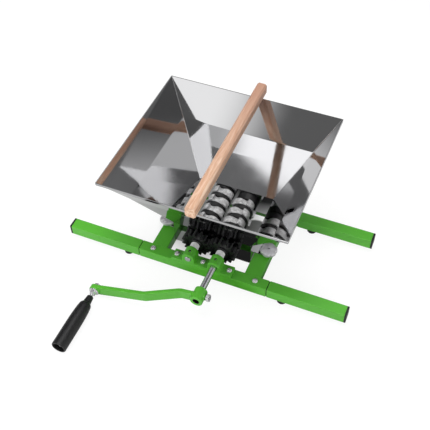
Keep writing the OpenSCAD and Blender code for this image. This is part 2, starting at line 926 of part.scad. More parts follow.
// Bolt that carries the grip: its head lies in the grip's end recess
module handle_bolt() {
  head_y = grip_y - grip_length + grip_recess - face_gap;
  nut_back_y = eye_y + eye_thick/2 + grip_nut_h;
  color("silver") at_crank() translate([crank_throw, 0, 0]) {
    rod_y(grip_bolt_d/2, head_y - over, nut_back_y + over);
    rod_y(grip_head_d/2, head_y - grip_head_h, head_y);
  }
}

// Nuts that clamp the bolt to the eye, one on each side
module handle_nuts() {
  color("silver") at_crank() for (y = [grip_nut_front_y, eye_y + eye_thick/2])
    translate([crank_throw, y + grip_nut_h, 0]) rotate([90, 0, 0])
      nut(grip_nut_af, grip_nut_h, grip_bolt_d);
}

module handle_washer() {
  y0 = grip_nut_front_y + grip_nut_h;
  color("silver") at_crank() translate([crank_throw, 0, 0]) difference() {
    rod_y(grip_washer_d/2, y0, y0 + grip_washer_h);
    rod_y(grip_bolt_d/2 + hole_gap, y0 - over, y0 + grip_washer_h + over);
  }
}

// Grip profile: radius and distance from the neck's end, as shares of its end radius and length
grip_outer_shares = [[0.44, 0], [0.47, 0.006], [0.57, 0.135], [0.78, 0.157], [0.84, 0.18],
  [0.93, 0.28], [0.98, 0.42], [1, 0.62], [1, 0.98], [0.96, 1]];

module handle_grip() {
  bore = grip_bolt_d/2 + run_gap;
  outer = [for (p = grip_outer_shares) [p.x*grip_r, p.y*grip_length]];
  inner = [[grip_recess_r, grip_length], [grip_recess_r, grip_length - grip_recess],
    [bore, grip_length - grip_recess], [bore, 0]];
  color("#181818") at_crank() translate([crank_throw, grip_y, 0]) rotate([90, 0, 0])
    rotate_extrude() polygon(concat(outer, inner));
}

// Chamfered wooden bar that pushes the fruit down; it lies across the rim
module pusher_bar() {
  w = pusher_width/2;
  h = pusher_height/2;
  c = pusher_chamfer;
  mid_y = hopper_y + pusher_shift;
  color("burlywood") translate([pusher_x, 0, rim_z + pusher_gap + h])
    plate_y(mid_y - pusher_length/2, mid_y + pusher_length/2)
      polygon([[-w + c, -h], [w - c, -h], [w, -h + c], [w, h - c],
        [w - c, h], [-w + c, h], [-w, h - c], [-w, -h + c]]);
}

front_rail();
rear_rail();
left_cross_member();
right_cross_member();
front_left_leg();
front_right_leg();
rear_left_leg();
rear_right_leg();
leg_joiners();
leg_end_caps();
rubber_feet();
foot_screws();
leg_bolts();
hopper();
knob_nuts();
front_left_knob();
front_right_knob();
rear_left_knob();
rear_right_knob();
front_bearing_block();
rear_bearing_block();
front_bushes();
rear_bushes();
block_bolts();
drive_shaft();
driven_shaft();
drive_key();
driven_key();
drive_gear();
driven_gear();
drive_cutters();
driven_cutters();
drive_spacers();
driven_spacers();
drive_retaining_ring();
driven_retaining_ring();
crank_arm();
crank_thumb_screw();
handle_bolt();
handle_nuts();
handle_washer();
handle_grip();
pusher_bar();
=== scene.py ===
"""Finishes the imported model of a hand-cranked apple scratter: tube frame, folded hopper,
geared rollers of hooked wheels, S-shaped crank and wooden pusher bar."""
import json
import math

import bmesh
import bpy
from bpy.props import FloatProperty, FloatVectorProperty, IntProperty, PointerProperty
from mathutils import Matrix, Vector


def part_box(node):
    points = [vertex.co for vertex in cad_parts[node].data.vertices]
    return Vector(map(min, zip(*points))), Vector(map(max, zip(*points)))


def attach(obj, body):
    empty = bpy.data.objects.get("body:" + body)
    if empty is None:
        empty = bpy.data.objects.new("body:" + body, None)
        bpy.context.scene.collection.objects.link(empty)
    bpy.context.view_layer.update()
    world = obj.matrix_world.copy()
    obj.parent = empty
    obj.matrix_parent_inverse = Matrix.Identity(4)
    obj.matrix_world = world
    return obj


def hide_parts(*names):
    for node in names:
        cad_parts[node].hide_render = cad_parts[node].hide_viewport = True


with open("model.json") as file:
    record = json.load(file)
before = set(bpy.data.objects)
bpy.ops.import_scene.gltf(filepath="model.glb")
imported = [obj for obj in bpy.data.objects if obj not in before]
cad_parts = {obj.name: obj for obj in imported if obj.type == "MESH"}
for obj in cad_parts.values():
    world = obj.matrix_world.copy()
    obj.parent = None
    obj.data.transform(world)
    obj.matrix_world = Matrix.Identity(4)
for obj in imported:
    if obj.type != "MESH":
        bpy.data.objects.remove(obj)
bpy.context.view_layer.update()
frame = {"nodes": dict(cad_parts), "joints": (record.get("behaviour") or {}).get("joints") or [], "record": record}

bl_info = {
    "name": "Apple Scratter Finish",
    "version": (1, 0, 0),
    "blender": (4, 5, 0),
    "location": "3D View > Sidebar > Scratter",
    "description": "Finished surfaces, small parts and studio for the apple scratter",
    "category": "Object",
}

MM = 0.001
RAILS = ("front_rail", "rear_rail")
CROSS_MEMBERS = ("left_cross_member", "right_cross_member")
LEGS = ("front_left_leg", "front_right_leg", "rear_left_leg", "rear_right_leg")
KNOBS = ("front_left_knob", "front_right_knob", "rear_left_knob", "rear_right_knob")
BLOCKS = ("front_bearing_block", "rear_bearing_block")
ROLLERS = ("drive", "driven")


def linear(hex_colour):
    """Linear RGB and alpha of an sRGB hex colour."""
    parts = [int(hex_colour[i:i + 2], 16) / 255 for i in (1, 3, 5)]
    return tuple(p / 12.92 if p <= 0.04045 else ((p + 0.055) / 1.055) ** 2.4 for p in parts) + (1.0,)


def length(name, description, millimetres, high=50):
    """A size that a user can change, kept in metres."""
    return FloatProperty(name=name, description=description, default=millimetres * MM, min=0.0,
                         max=high * MM, unit="LENGTH", precision=5)


def colour(name, description, hex_colour):
    """A colour that a user can change."""
    return FloatVectorProperty(name=name, description=description, default=linear(hex_colour), size=4,
                               min=0.0, max=1.0, subtype="COLOR")


class ScratterSizes(bpy.types.PropertyGroup):
    """Sizes of the rounded edges and small parts."""
    tube_corner: length("Tube corner", "Outer corner radius of the frame tubes", 1.4)
    tube_wall: length("Tube wall", "Wall of the frame tubes", 1.5)
    seam: length("Leg seam", "Gap that shows between a leg and the centre section", 1.7)
    cap_lip: length("Cap lip", "Reach of a cap's lip over the end of its leg", 1.5)
    bead: length("Weld bead", "Radius of the weld beads on the frame and the crank", 1.7)
    bead_pitch: length("Weld pitch", "Distance from one weld ripple to the next", 1.5)
    fold_radius: length("Fold radius", "Radius of the hopper's folds", 2.0)
    sheet: length("Sheet", "Thickness of the hopper's sheet", 1.2)
    bar_edge: length("Bar edge", "Rounding along the edges of the wooden bar", 0.6)
    cast_voxel: length("Casting grid", "Grid on which the castings' edges are rounded", 0.8)
    knob_steps: IntProperty(name="Knob steps", description="Steps round a knob", default=96, min=24)
    seed: IntProperty(name="Seed", description="Fixed seed of the weld ripples and screw turns", default=7)


class ScratterColours(bpy.types.PropertyGroup):
    """Colours of the finishes."""
    green: colour("Powder coat", "Green of the frame, blocks and crank", "#4CA624")
    steel: colour("Stainless sheet", "Polished sheet of the hopper", "#C4C4C5")
    zinc: colour("Zinc plate", "Screws, nuts and knobs", "#E2E1E4")
    shaft: colour("Ground steel", "Both shafts", "#D2D3D6")
    cast: colour("Cast aluminium", "Hooked wheels", "#CFCFD0")
    iron: colour("Blackened iron", "Gears and rings", "#0D0D0E")
    plastic: colour("Black plastic", "Grip, caps and spacers", "#0E0E0F")
    rubber: colour("Black rubber", "Feet", "#0B0B0B")
    nylon: colour("White nylon", "Bushes", "#F2F2F0")
    beech: colour("Beech", "Pale wood of the pusher bar", "#DBC0A8")


# Finishes

finishes = {}
# On a Mix node of colours, i0 is the share, i6 and i7 are the colours, and output 2 is the result
COLOUR_MIX = {"data_type": "RGBA"}
SMOOTH_EDGE = {"interpolation_type": "SMOOTHSTEP"}


def add(tree, kind, settings=None, **inputs):
    """Adds a node. Settings are its properties. Inputs are values or other nodes' outputs, each by its
    socket's name, or as i0, i1 and so on by its socket's place."""
    made = tree.nodes.new(kind)
    for key, value in (settings or {}).items():
        setattr(made, key, value)
    for key, value in inputs.items():
        socket = made.inputs[int(key[1:])] if key[1:].isdigit() else made.inputs[key.replace("_", " ")]
        if isinstance(value, bpy.types.NodeSocket):
            tree.links.new(value, socket)
        else:
            socket.default_value = value
    return made


def empty_material(name):
    """A material without nodes, and its tree."""
    material = bpy.data.materials.new(name)
    material.use_nodes = True
    material.node_tree.nodes.clear()
    return material, material.node_tree


def bare_finish(name, **values):
    """A material with one Principled shader: it, its tree, the shader and the object's coordinates."""
    material, tree = empty_material(name)
    shader = add(tree, "ShaderNodeBsdfPrincipled", **values)
    add(tree, "ShaderNodeOutputMaterial", Surface=shader.outputs["BSDF"])
    return material, tree, shader, add(tree, "ShaderNodeTexCoord").outputs["Object"]


def per_mm(size):
    """Texture scale at which one feature is size millimetres."""
    return 1 / (size * MM)


def tinted(value, *factors):
    """A colour made lighter or darker by each factor: one colour, or a tuple of them."""
    made = tuple(tuple(min(1.0, c * factor) for c in value[:3]) + (1.0,) for factor in factors)
    return made if len(made) > 1 else made[0]


def vary(tree, shader, pattern, tones=None, rough=None, relief=None):
    """Lets a pattern vary a finish: its colour from one tone to another, its roughness between two values,
    and its relief by a strength and a depth in millimetres. A noise keeps mostly between 0.3 and 0.7."""
    if tones:
        mixed = add(tree, "ShaderNodeMix", COLOUR_MIX, i0=pattern, i6=tones[0], i7=tones[1])
        tree.links.new(mixed.outputs[2], shader.inputs["Base Color"])
    if rough:
        mapped = add(tree, "ShaderNodeMapRange", i0=pattern, i1=0.3, i2=0.7, i3=rough[0], i4=rough[1])
        tree.links.new(mapped.outputs[0], shader.inputs["Roughness"])
    if relief:
        bump = add(tree, "ShaderNodeBump", Strength=relief[0], Distance=relief[1] * MM, Height=pattern)
        tree.links.new(bump.outputs[0], shader.inputs["Normal"])


def cover(tree, base, mask, mask_range, shares, tone):
    """Covers a base with a tone, by a share that runs from the first to the second over the mask's range."""
    share = add(tree, "ShaderNodeMapRange", i0=mask, i1=mask_range[0], i2=mask_range[1], i3=shares[0],
                i4=shares[1])
    return add(tree, "ShaderNodeMix", COLOUR_MIX, i0=share.outputs[0], i6=base, i7=tone).outputs[2]


def powder_coat(name, tone, bores=()):
    """Polyester powder coat, sprayed and baked: even semi-gloss green with fine orange peel. Inside the
    bores, each a point, an axis and a radius, the colour is painted near black, as painted shade in the holes."""
    bore_shade, edge = linear("#060606"), 0.3 * MM
    material, tree, shader, place = bare_finish(name, Roughness=0.36, IOR=1.5, Coat_Weight=0.25,
                                                Coat_Roughness=0.22)
    drift = add(tree, "ShaderNodeTexNoise", Vector=place, Scale=per_mm(70), Detail=3.0)
    deep, pale = tinted(tone, 0.9, 1.12)
    base = add(tree, "ShaderNodeMix", COLOUR_MIX, i0=drift.outputs[0], i6=deep, i7=pale).outputs[2]
    # Painted shade: inside each bore the colour turns near black over the edge width
    for point, axis, radius in bores:
        offset = add(tree, "ShaderNodeVectorMath", {"operation": "SUBTRACT"}, i0=place, i1=point)
        across = add(tree, "ShaderNodeVectorMath", {"operation": "CROSS_PRODUCT"}, i0=offset.outputs[0],
                     i1=axis)
        away = add(tree, "ShaderNodeVectorMath", {"operation": "LENGTH"}, i0=across.outputs[0])
        base = cover(tree, base, away.outputs["Value"], (radius, radius + edge), (1.0, 0.0), bore_shade)
    tree.links.new(base, shader.inputs["Base Color"])
    # Orange peel is about 1 mm wide; it is drawn at 1.6 mm so that it shows
    peel = add(tree, "ShaderNodeTexNoise", Vector=place, Scale=per_mm(1.6), Detail=2.0)
    vary(tree, shader, peel.outputs[0], relief=(0.18, 0.06))
    return material


def polished_sheet(tone):
    """Rolled stainless sheet, mirror polished: sharp reflections, faint rolling lines and slight waves."""
    material, tree, shader, place = bare_finish("polished_stainless", Metallic=1.0, Base_Color=tone,
                                                Roughness=0.05)
    # Rolling lines are finer than 0.1 mm; they are drawn 1.5 mm wide so that they show
    lines = add(tree, "ShaderNodeMapping", Vector=place, Scale=(0.04, 1.0, 1.0))
    grain = add(tree, "ShaderNodeTexNoise", Vector=lines.outputs[0], Scale=per_mm(1.5), Detail=3.0)
    waves = add(tree, "ShaderNodeTexNoise", Vector=place, Scale=per_mm(90), Detail=1.0)
    smears = add(tree, "ShaderNodeTexNoise", Vector=place, Scale=per_mm(35), Detail=4.0)
    vary(tree, shader, smears.outputs[0], rough=(0.03, 0.065))
    wavy = add(tree, "ShaderNodeBump", Strength=0.15, Distance=0.5 * MM, Height=waves.outputs[0])
    lined = add(tree, "ShaderNodeBump", Strength=0.02, Distance=0.05 * MM, Height=grain.outputs[0],
                Normal=wavy.outputs[0])
    tree.links.new(lined.outputs[0], shader.inputs["Normal"])
    return material


def zinc_plate(name, tone):
    """Zinc-plated steel: satin, with a faint mottle from the bath; silver, or, on the leg joiners, a dark
    green-grey that is painted shade in the seams.
    """
    material, tree, shader, place = bare_finish(name, Metallic=0.85, Roughness=0.26)
    mottle = add(tree, "ShaderNodeTexNoise", Vector=place, Scale=per_mm(4), Detail=4.0)
    vary(tree, shader, mottle.outputs[0], tinted(tone, 0.8, 1.15), rough=(0.18, 0.34), relief=(0.12, 0.1))
    return material


def satin_diecast(tone):
    """Die-cast zinc knob, tumbled: soft satin silver with small pits."""
    material, tree, shader, place = bare_finish("satin_diecast", Metallic=0.65, Roughness=0.3)
    pits = add(tree, "ShaderNodeTexNoise", Vector=place, Scale=per_mm(1.8), Detail=5.0)
    vary(tree, shader, pits.outputs[0], tinted(tone, 0.7, 1.1), relief=(0.3, 0.15))
    return material


def ground_steel(tone):
    """Centreless-ground bright steel: near mirror, with fine rings round the shaft."""
    material, tree, shader, place = bare_finish("ground_steel", Metallic=1.0, Base_Color=tone, Roughness=0.1)
    # Grinding rings are finer than 0.1 mm; they are drawn at 0.8 mm
    rings = add(tree, "ShaderNodeMapping", Vector=place, Scale=(0.02, 1.0, 0.02))
    grain = add(tree, "ShaderNodeTexNoise", Vector=rings.outputs[0], Scale=per_mm(0.8), Detail=3.0)
    vary(tree, shader, grain.outputs[0], rough=(0.08, 0.12))
    return material


def sand_cast(tone):
    """Sand-cast aluminium: dull silver with a coarse, pitted skin, darker in the pits."""
    material, tree, shader, place = bare_finish("sand_cast_aluminium", Metallic=0.3, Roughness=0.45)
    grit = add(tree, "ShaderNodeTexNoise", Vector=place, Scale=per_mm(1.4), Detail=5.0, Roughness=0.65)
    patches = add(tree, "ShaderNodeTexNoise", Vector=place, Scale=per_mm(7), Detail=3.0)
    mixed = add(tree, "ShaderNodeMath", {"operation": "MULTIPLY"}, i0=grit.outputs[0], i1=patches.outputs[0])
    pit, skin = tinted(tone, 0.45, 1.25)
    base = cover(tree, pit, mixed.outputs[0], (0.12, 0.4), (0.0, 1.0), skin)
    tree.links.new(base, shader.inputs["Base Color"])
    vary(tree, shader, grit.outputs[0], rough=(0.55, 0.35), relief=(0.55, 0.5))
    return material


def blackened_iron(tone):
    """Cast iron, blackened and oiled: near black, satin, with a grainy skin."""
    material, tree, shader, place = bare_finish("blackened_iron", Metallic=0.0, IOR=1.6, Roughness=0.42)
    skin = add(tree, "ShaderNodeTexNoise", Vector=place, Scale=per_mm(2.2), Detail=4.0)
    vary(tree, shader, skin.outputs[0], tinted(tone, 0.7, 2.6), rough=(0.24, 0.42), relief=(0.15, 0.2))
    return material


def moulded_plastic(name, tone, rough, grain_mm):
    """Moulded or turned plastic or rubber: even colour, soft sheen and a fine grain."""
    material, tree, shader, place = bare_finish(name, IOR=1.47, Roughness=rough)
    grain = add(tree, "ShaderNodeTexNoise", Vector=place, Scale=per_mm(grain_mm), Detail=3.0)
    vary(tree, shader, grain.outputs[0], tinted(tone, 0.88, 1.15), rough=(rough * 0.85, rough * 1.2),
         relief=(0.12, 0.08))
    return material


def planed_beech(tone):
    """Planed beech, unvarnished: pale pink-tan with long darker growth lines and short flecks, and darker
    towards the rear end."""
    material, tree, shader, place = bare_finish("planed_beech", IOR=1.45, Roughness=0.55)
    stretched = add(tree, "ShaderNodeMapping", Vector=place, Scale=(1.0, 0.07, 1.0))
    growth = add(tree, "ShaderNodeTexNoise", Vector=stretched.outputs[0], Scale=per_mm(5), Detail=4.0,
                 Distortion=0.6)
    fibre = add(tree, "ShaderNodeTexNoise", Vector=stretched.outputs[0], Scale=per_mm(1.1), Detail=3.0)
    flecks = add(tree, "ShaderNodeMapping", Vector=place, Scale=(1.0, 0.25, 1.0))
    fleck = add(tree, "ShaderNodeTexVoronoi", Vector=flecks.outputs[0], Scale=per_mm(1.6))
    lengthwise = add(tree, "ShaderNodeSeparateXYZ", Vector=place)
    base = tinted(tone, 1.1)
    for mask, mask_range, shares, darker_tone in (
            (growth.outputs[0], (0.35, 0.65), (0.0, 1.0), "#C6987A"),
            (fibre.outputs[0], (0.45, 0.7), (0.0, 0.45), "#BC8C6E"),
            (fleck.outputs[0], (0.0, 0.25), (0.35, 0.0), "#B0846A"),
            (lengthwise.outputs["Y"], (-0.12, 0.17), (0.0, 0.9), "#B08671")):
        base = cover(tree, base, mask, mask_range, shares, linear(darker_tone))
    tree.links.new(base, shader.inputs["Base Color"])
    vary(tree, shader, fibre.outputs[0], relief=(0.15, 0.15))
    return material


def drilled_bores():
    """The crank hub's bore and the blocks' oil holes, each as a point, an axis and a radius, where painted shade
    goes.
    """
    hub_bore, oil_hole = 7.4 * MM, 2.5 * MM
    shaft_x, _, shaft_z = joint("crank_turn")["pos_m"]
    low, high = corners("front_rail")
    rail_y = (low.y + high.y) / 2
    bores = [((shaft_x, 0.0, shaft_z), (0.0, 1.0, 0.0), hub_bore)]
    for x in (-shaft_x, shaft_x):
        for y in (-rail_y, rail_y):
            bores.append(((x, y, 0.0), (0.0, 0.0, 1.0), oil_hole))
    return bores


def make_finishes(tones):
    """Every material, by the record's slot name, and one each for drilled castings with painted shade in their
    bores, for joiners with painted shade in the leg seams, and for knobs.
    """
    finishes.update({
        "powder_green": powder_coat("powder_coat", tones.green),
        # Powder coat whose bores are painted near black, as painted shade in the holes
        "drilled": powder_coat("powder_coat_on_drilled_castings", tones.green, drilled_bores()),
        "sheet_steel": polished_sheet(tones.steel),
        "zinc_steel": zinc_plate("zinc_plate", tones.zinc),
        # Dark green-grey on the leg joiners: painted shade in the seams between the legs and the centre section
        "joiners": zinc_plate("black_passivated_zinc", linear("#26301F")),
        "knob": satin_diecast(tones.zinc),
        "polished_shaft": ground_steel(tones.shaft),
        "cast_aluminium": sand_cast(tones.cast),
        "black_iron": blackened_iron(tones.iron),
        "black_plastic": moulded_plastic("moulded_black_plastic", tones.plastic, 0.42, 1.2),
        "white_nylon": moulded_plastic("turned_white_nylon", tones.nylon, 0.4, 2.0),
        "black_rubber": moulded_plastic("black_rubber", tones.rubber, 0.6, 0.9),
        "beech": planed_beech(tones.beech),
    })


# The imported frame

def corners(node):
    """Lowest and highest corner of a CAD node."""
    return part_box(node)


def joint(name):
    """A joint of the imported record."""
    return next(j for j in frame["joints"] if j["name"] == name)


# Meshes

def linked(name, source):
    """An object in the scene that holds a bmesh or a mesh."""
    mesh = source
    if isinstance(source, bmesh.types.BMesh):
        mesh = bpy.data.meshes.new(name)
        source.to_mesh(mesh)
        source.free()
    made = bpy.data.objects.new(name, mesh)
    bpy.context.scene.collection.objects.link(made)
    return made


def baked(obj):
    """The evaluated mesh of a temporary object, which is then removed."""
    bpy.context.view_layer.update()
    graph = bpy.context.evaluated_depsgraph_get()
    mesh = bpy.data.meshes.new_from_object(obj.evaluated_get(graph))
    bpy.data.objects.remove(obj)
    return mesh


def keep(name, source, slot, body="frame", stands_for=(), finish=None, sharp=38):
    """Makes a finished piece of a bmesh or mesh, with the material of its slot or of a given finish, and its body.
    Edges over sharp degrees stay sharp, and flat faces keep their flat look beside rounded edges."""
    shaded = linked(name + "_shaded", source)
    mesh = shaded.data
    mesh.materials.clear()
    mesh.materials.append(finishes[finish or slot])
    mesh.polygons.foreach_set("material_index", [0] * len(mesh.polygons))
    mesh.shade_smooth()
    mesh.set_sharp_from_angle(angle=math.radians(sharp))
    shaded.modifiers.new("weights", "WEIGHTED_NORMAL").keep_sharp = True
    piece = linked(name, baked(shaded))
    piece.data.name = name
    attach(piece, body)
    if stands_for:
        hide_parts(*stands_for)
    return piece


def loft(bm, loops, wrap=False, ends=True):
    """Joins loops of points by quads. The ends get flat faces, are joined to each other or stay open."""
    rings = [[bm.verts.new(p) for p in loop] for loop in loops]
    pairs = list(zip(rings, rings[1:])) + ([(rings[-1], rings[0])] if wrap else [])
    count = len(rings[0])
    for a, b in pairs:
        for i in range(count):
            j = (i + 1) % count
            bm.faces.new((a[i], a[j], b[j], b[i]))
    if ends and not wrap:
        bm.faces.new(list(reversed(rings[0])))
        bm.faces.new(rings[-1])
    bmesh.ops.recalc_face_normals(bm, faces=bm.faces)
    return bm


def arc(x, y, radius, degrees):
    """Points on a circle at the given angles."""
    return [(x + radius * math.cos(t), y + radius * math.sin(t)) for t in map(math.radians, degrees)]


def rounded_loop(half_a, half_b, radius, steps=5):
    """Corner-rounded rectangle as (a, b) points about its centre."""
    radius = min(radius, half_a, half_b)
    points = []
    for k, (sa, sb) in enumerate(((1, 1), (-1, 1), (-1, -1), (1, -1))):
        points += arc(sa * (half_a - radius), sb * (half_b - radius), radius,
                      [90 * k + 90 * i / steps for i in range(steps + 1)])
    return points


def lathe(bm, profile, place, steps=48):
    """Turned form: (radius, height) points round the local Z axis; a radius of 0 is a pole. The profile is
    closed on itself unless it starts and ends at poles."""
    pole = 1e-9
    rings = []
    for r, z in profile:
        turns = [0.0] if r < pole else [math.tau * i / steps for i in range(steps)]
        rings.append([bm.verts.new(place @ Vector((r * math.cos(t), r * math.sin(t), z))) for t in turns])
    closed = len(rings[0]) > 1
    for a, b in zip(rings, rings[1:] + ([rings[0]] if closed else [])):
        for i in range(steps):
            j = (i + 1) % steps
            if len(a) == 1:
                bm.faces.new((a[0], b[j], b[i]))
            elif len(b) == 1:
                bm.faces.new((a[i], a[j], b[0]))
            else:
                bm.faces.new((a[i], a[j], b[j], b[i]))
    bmesh.ops.recalc_face_normals(bm, faces=bm.faces)
    return bm


def chamfered(core, radius, low, high, chamfer):
    """Profile of a turned bar or bush, from its core or bore out to its radius, with chamfered ends."""
    return [(core, low), (radius - chamfer, low), (radius, low + chamfer), (radius, high - chamfer),
            (radius - chamfer, high), (core, high)]


def upright(x, y, z=0.0):
    """Matrix that leaves the local Z axis upright, at a place."""
    return Matrix.Translation((x, y, z))


def lying(x, z, y=0.0):
    """Matrix that lays the local Z axis along +Y, at a place."""
    return Matrix.Translation((x, y, z)) @ Matrix.Rotation(-math.pi / 2, 4, "X")


def welded_copy(node):
    """A bmesh of a CAD node with its loose triangles merged."""
    bm = bmesh.new()
    bm.from_mesh(frame["nodes"][node].data)
    bmesh.ops.remove_doubles(bm, verts=bm.verts, dist=1e-6)
    return bm


def cast_copy(node, voxel, relax=2):
    """Mesh of a CAD node with its edges rounded as a casting's are."""
    obj = linked(node + "_cast", welded_copy(node))
    skin = obj.modifiers.new("skin", "REMESH")
    skin.mode = "VOXEL"
    skin.voxel_size = voxel
    soft = obj.modifiers.new("relax", "SMOOTH")
    soft.factor = 0.5
    soft.iterations = relax
    return baked(obj)


def bevelled_copy(node, width):
    """Mesh of a CAD node with its flat faces whole and its sharp edges bevelled."""
    flat, sharp = math.radians(0.5), math.radians(32)
    bm = welded_copy(node)
    bmesh.ops.dissolve_limit(bm, angle_limit=flat, verts=bm.verts, edges=bm.edges)
    obj = linked(node + "_bevelled", bm)
    edge = obj.modifiers.new("edge", "BEVEL")
    edge.width = width
    edge.segments = 2
    edge.limit_method = "ANGLE"
    edge.angle_limit = sharp
    edge.use_clamp_overlap = True
    return baked(obj)


def grow_tree(name, sockets):
    """An empty geometry tree with named inputs: the tree, its input node and its output node."""
    tree = bpy.data.node_groups.new(name, "GeometryNodeTree")
    tree.interface.new_socket("Geometry", in_out="OUTPUT", socket_type="NodeSocketGeometry")
    for label, kind in (("Geometry", "NodeSocketGeometry"), *sockets):
        tree.interface.new_socket(label, in_out="INPUT", socket_type=kind)
    return tree, add(tree, "NodeGroupInput"), add(tree, "NodeGroupOutput")


def plant(tree, given, out, **instances):
    """Ends a geometry tree: instances on points, made real and given the finish."""
    planted = add(tree, "GeometryNodeInstanceOnPoints", **instances)
    solid = add(tree, "GeometryNodeRealizeInstances", Geometry=planted.outputs[0])
    finished = add(tree, "GeometryNodeSetMaterial", Geometry=solid.outputs[0],
                   Material=given.outputs["Finish"])
    tree.links.new(finished.outputs[0], out.inputs[0])
    return tree


def grown(source, tree, values):
    """Runs a geometry tree on a temporary object and gives its mesh."""
    obj = linked(tree.name, source)
    modifier = obj.modifiers.new("grow", "NODES")
    modifier.node_group = tree
    for item in tree.interface.items_tree:
        if item.in_out == "INPUT" and item.name in values:
            modifier[item.identifier] = values[item.name]
    return baked(obj)


# Frame

def tube(node, gap_low=0.0, gap_high=0.0):
    """Square tube with rounded corners in the place of a CAD node, along its longer side."""
    sizes = bpy.context.scene.scratter_sizes
    low, high = corners(node)
    middle, half = (low + high) / 2, (high - low) / 2
    lengthwise = 0 if half.x > half.y else 1
    start, end = low[lengthwise] + gap_low, high[lengthwise] - gap_high
    edge, worn = 0.4 * MM, 0.12 * MM
    wall, outer, inner = sizes.tube_wall, sizes.tube_corner, sizes.tube_corner / 2

    def ring(position, inset, radius):
        loop = []
        for a, b in rounded_loop(half[1 - lengthwise] - inset, half.z - inset, radius):
            point = [middle.x + a, middle.y + a, middle.z + b]
            point[lengthwise] = position
            loop.append(point)
        return loop

    return loft(bmesh.new(), [
        ring(start + edge, 0, outer), ring(end - edge, 0, outer), ring(end - worn, worn, outer),
        ring(end, edge, outer), ring(end, wall, inner), ring(start, wall, inner), ring(start, edge, outer),
        ring(start + worn, worn, outer)], wrap=True)


def cap(end_x, y, z, half):
    """Moulded cap on a leg's end, as rings: a short plug and a head with rounded edges and slight crown."""
    corner = bpy.context.scene.scratter_sizes.tube_corner
    outward = 1 if end_x > 0 else -1
    # Millimetres below the head's face, and inwards from its sides
    plug_depth, head_depth, plug_inset = 14.0, 4.4, 1.7
    crown = ((0.7, 0.0), (0.35, 0.15), (0.12, 0.5), (0.04, 1.6), (0.0, 6.0))
    rings = [(plug_depth, plug_inset, corner / 2), (head_depth, plug_inset, corner / 2)]
    rings += [(depth, inset, corner) for depth, inset in ((head_depth, 0.0), *crown)]
    return [[(end_x - outward * depth * MM, y + a, z + b)
             for a, b in rounded_loop(half - inset * MM, half - inset * MM, radius)]
            for depth, inset, radius in rings]


def foot(bm, x, y, top, radius):
    """Turned rubber foot with a rounded lower edge and a recess for its screw."""
    sole = radius - 1 * MM
    recess, recess_top = 5.4 * MM, 3 * MM
    recess_side = [(0, recess_top), (recess, recess_top), (recess + 0.2 * MM, 0.3 * MM),
                   (recess + 1 * MM, 0.0)]
    tread = [(sole - 1.2 * MM, 0.0), (sole - 0.4 * MM, 0.4 * MM), (sole, 1.4 * MM),
             (sole + 0.5 * MM, 6 * MM)]
    shoulder = [(radius, top - 1 * MM), (radius - 0.3 * MM, top - 0.2 * MM), (radius - 0.8 * MM, top),
                (0, top)]
    lathe(bm, recess_side + tread + shoulder, upright(x, y))


def weld_tree():
    """Weld bead: overlapping ripples along a line, each sized a little differently."""
    tree, given, out = grow_tree("weld_bead", (
        ("Bead radius", "NodeSocketFloat"), ("Ripple pitch", "NodeSocketFloat"), ("Seed", "NodeSocketInt"),
        ("Finish", "NodeSocketMaterial")))
    line = add(tree, "GeometryNodeMeshToCurve", Mesh=given.outputs["Geometry"])
    points = add(tree, "GeometryNodeCurveToPoints", {"mode": "LENGTH"}, Curve=line.outputs[0],
                 Length=given.outputs["Ripple pitch"])
    ripple = add(tree, "GeometryNodeMeshUVSphere", Segments=8, Rings=5, Radius=given.outputs["Bead radius"])
    swell = add(tree, "FunctionNodeRandomValue", {"data_type": "FLOAT_VECTOR"}, i0=(0.85, 0.85, 0.85),
                i1=(1.1, 1.1, 1.1), Seed=given.outputs["Seed"])
    return plant(tree, given, out, Points=points.outputs[0], Instance=ripple.outputs[0],
                 Scale=swell.outputs[0])


def weld_mesh(paths):
    """Mesh of the weld beads along some lines, each a list of points."""
    sizes = bpy.context.scene.scratter_sizes
    lines = bmesh.new()
    for path in paths:
        verts = [lines.verts.new(p) for p in path]
        for a, b in zip(verts, verts[1:]):
            lines.edges.new((a, b))
    return grown(lines, weld_tree(), {
        "Bead radius": sizes.bead, "Ripple pitch": sizes.bead_pitch, "Seed": sizes.seed,
        "Finish": finishes["powder_green"]})


def cross_member_welds(node):
    """Lines of the welds round a cross-member: two upright ones and two level ones at each end."""
    low, high = corners(node)
    tuck, low_gap, corner_gap = 0.2 * MM, 2 * MM, 3 * MM
    level_reach, level_sink = 0.6 * MM, 1.53 * MM
    paths = []
    for y in (low.y, high.y):
        inwards = 1 if y < 0 else -1
        for x, to_middle in ((low.x, 1), (high.x, -1)):
            side, end = x + to_middle * tuck, y + inwards * tuck
            paths.append([(side, end, low.z + low_gap), (side, end, high.z - corner_gap)])
        for z, to_middle in ((low.z, 1), (high.z, -1)):
            end, level = y - inwards * level_reach, z + to_middle * level_sink
            paths.append([(low.x + corner_gap, end, level), (high.x - corner_gap, end, level)])
    return paths


class SCRATTER_OT_tubes(bpy.types.Operator):
    """Rails, legs and cross-members with rounded corners, and the welds between them"""
    bl_idname = "scratter.tubes"
    bl_label = "Frame tubes"

    def execute(self, context):
        sizes = context.scene.scratter_sizes
        gap, lip = sizes.seam / 2, sizes.cap_lip
        ends = {node: (gap, gap) for node in RAILS}
        ends.update({node: (lip, gap) if "left" in node else (gap, lip) for node in LEGS})
        ends.update({node: (0.0, 0.0) for node in CROSS_MEMBERS})
        for node, gaps in ends.items():
            keep(node + "_tube", tube(node, *gaps), "powder_green", stands_for=(node,))
        paths = [path for node in CROSS_MEMBERS for path in cross_member_welds(node)]
        keep("frame_welds", weld_mesh(paths), "powder_green", sharp=80)
        return {"FINISHED"}


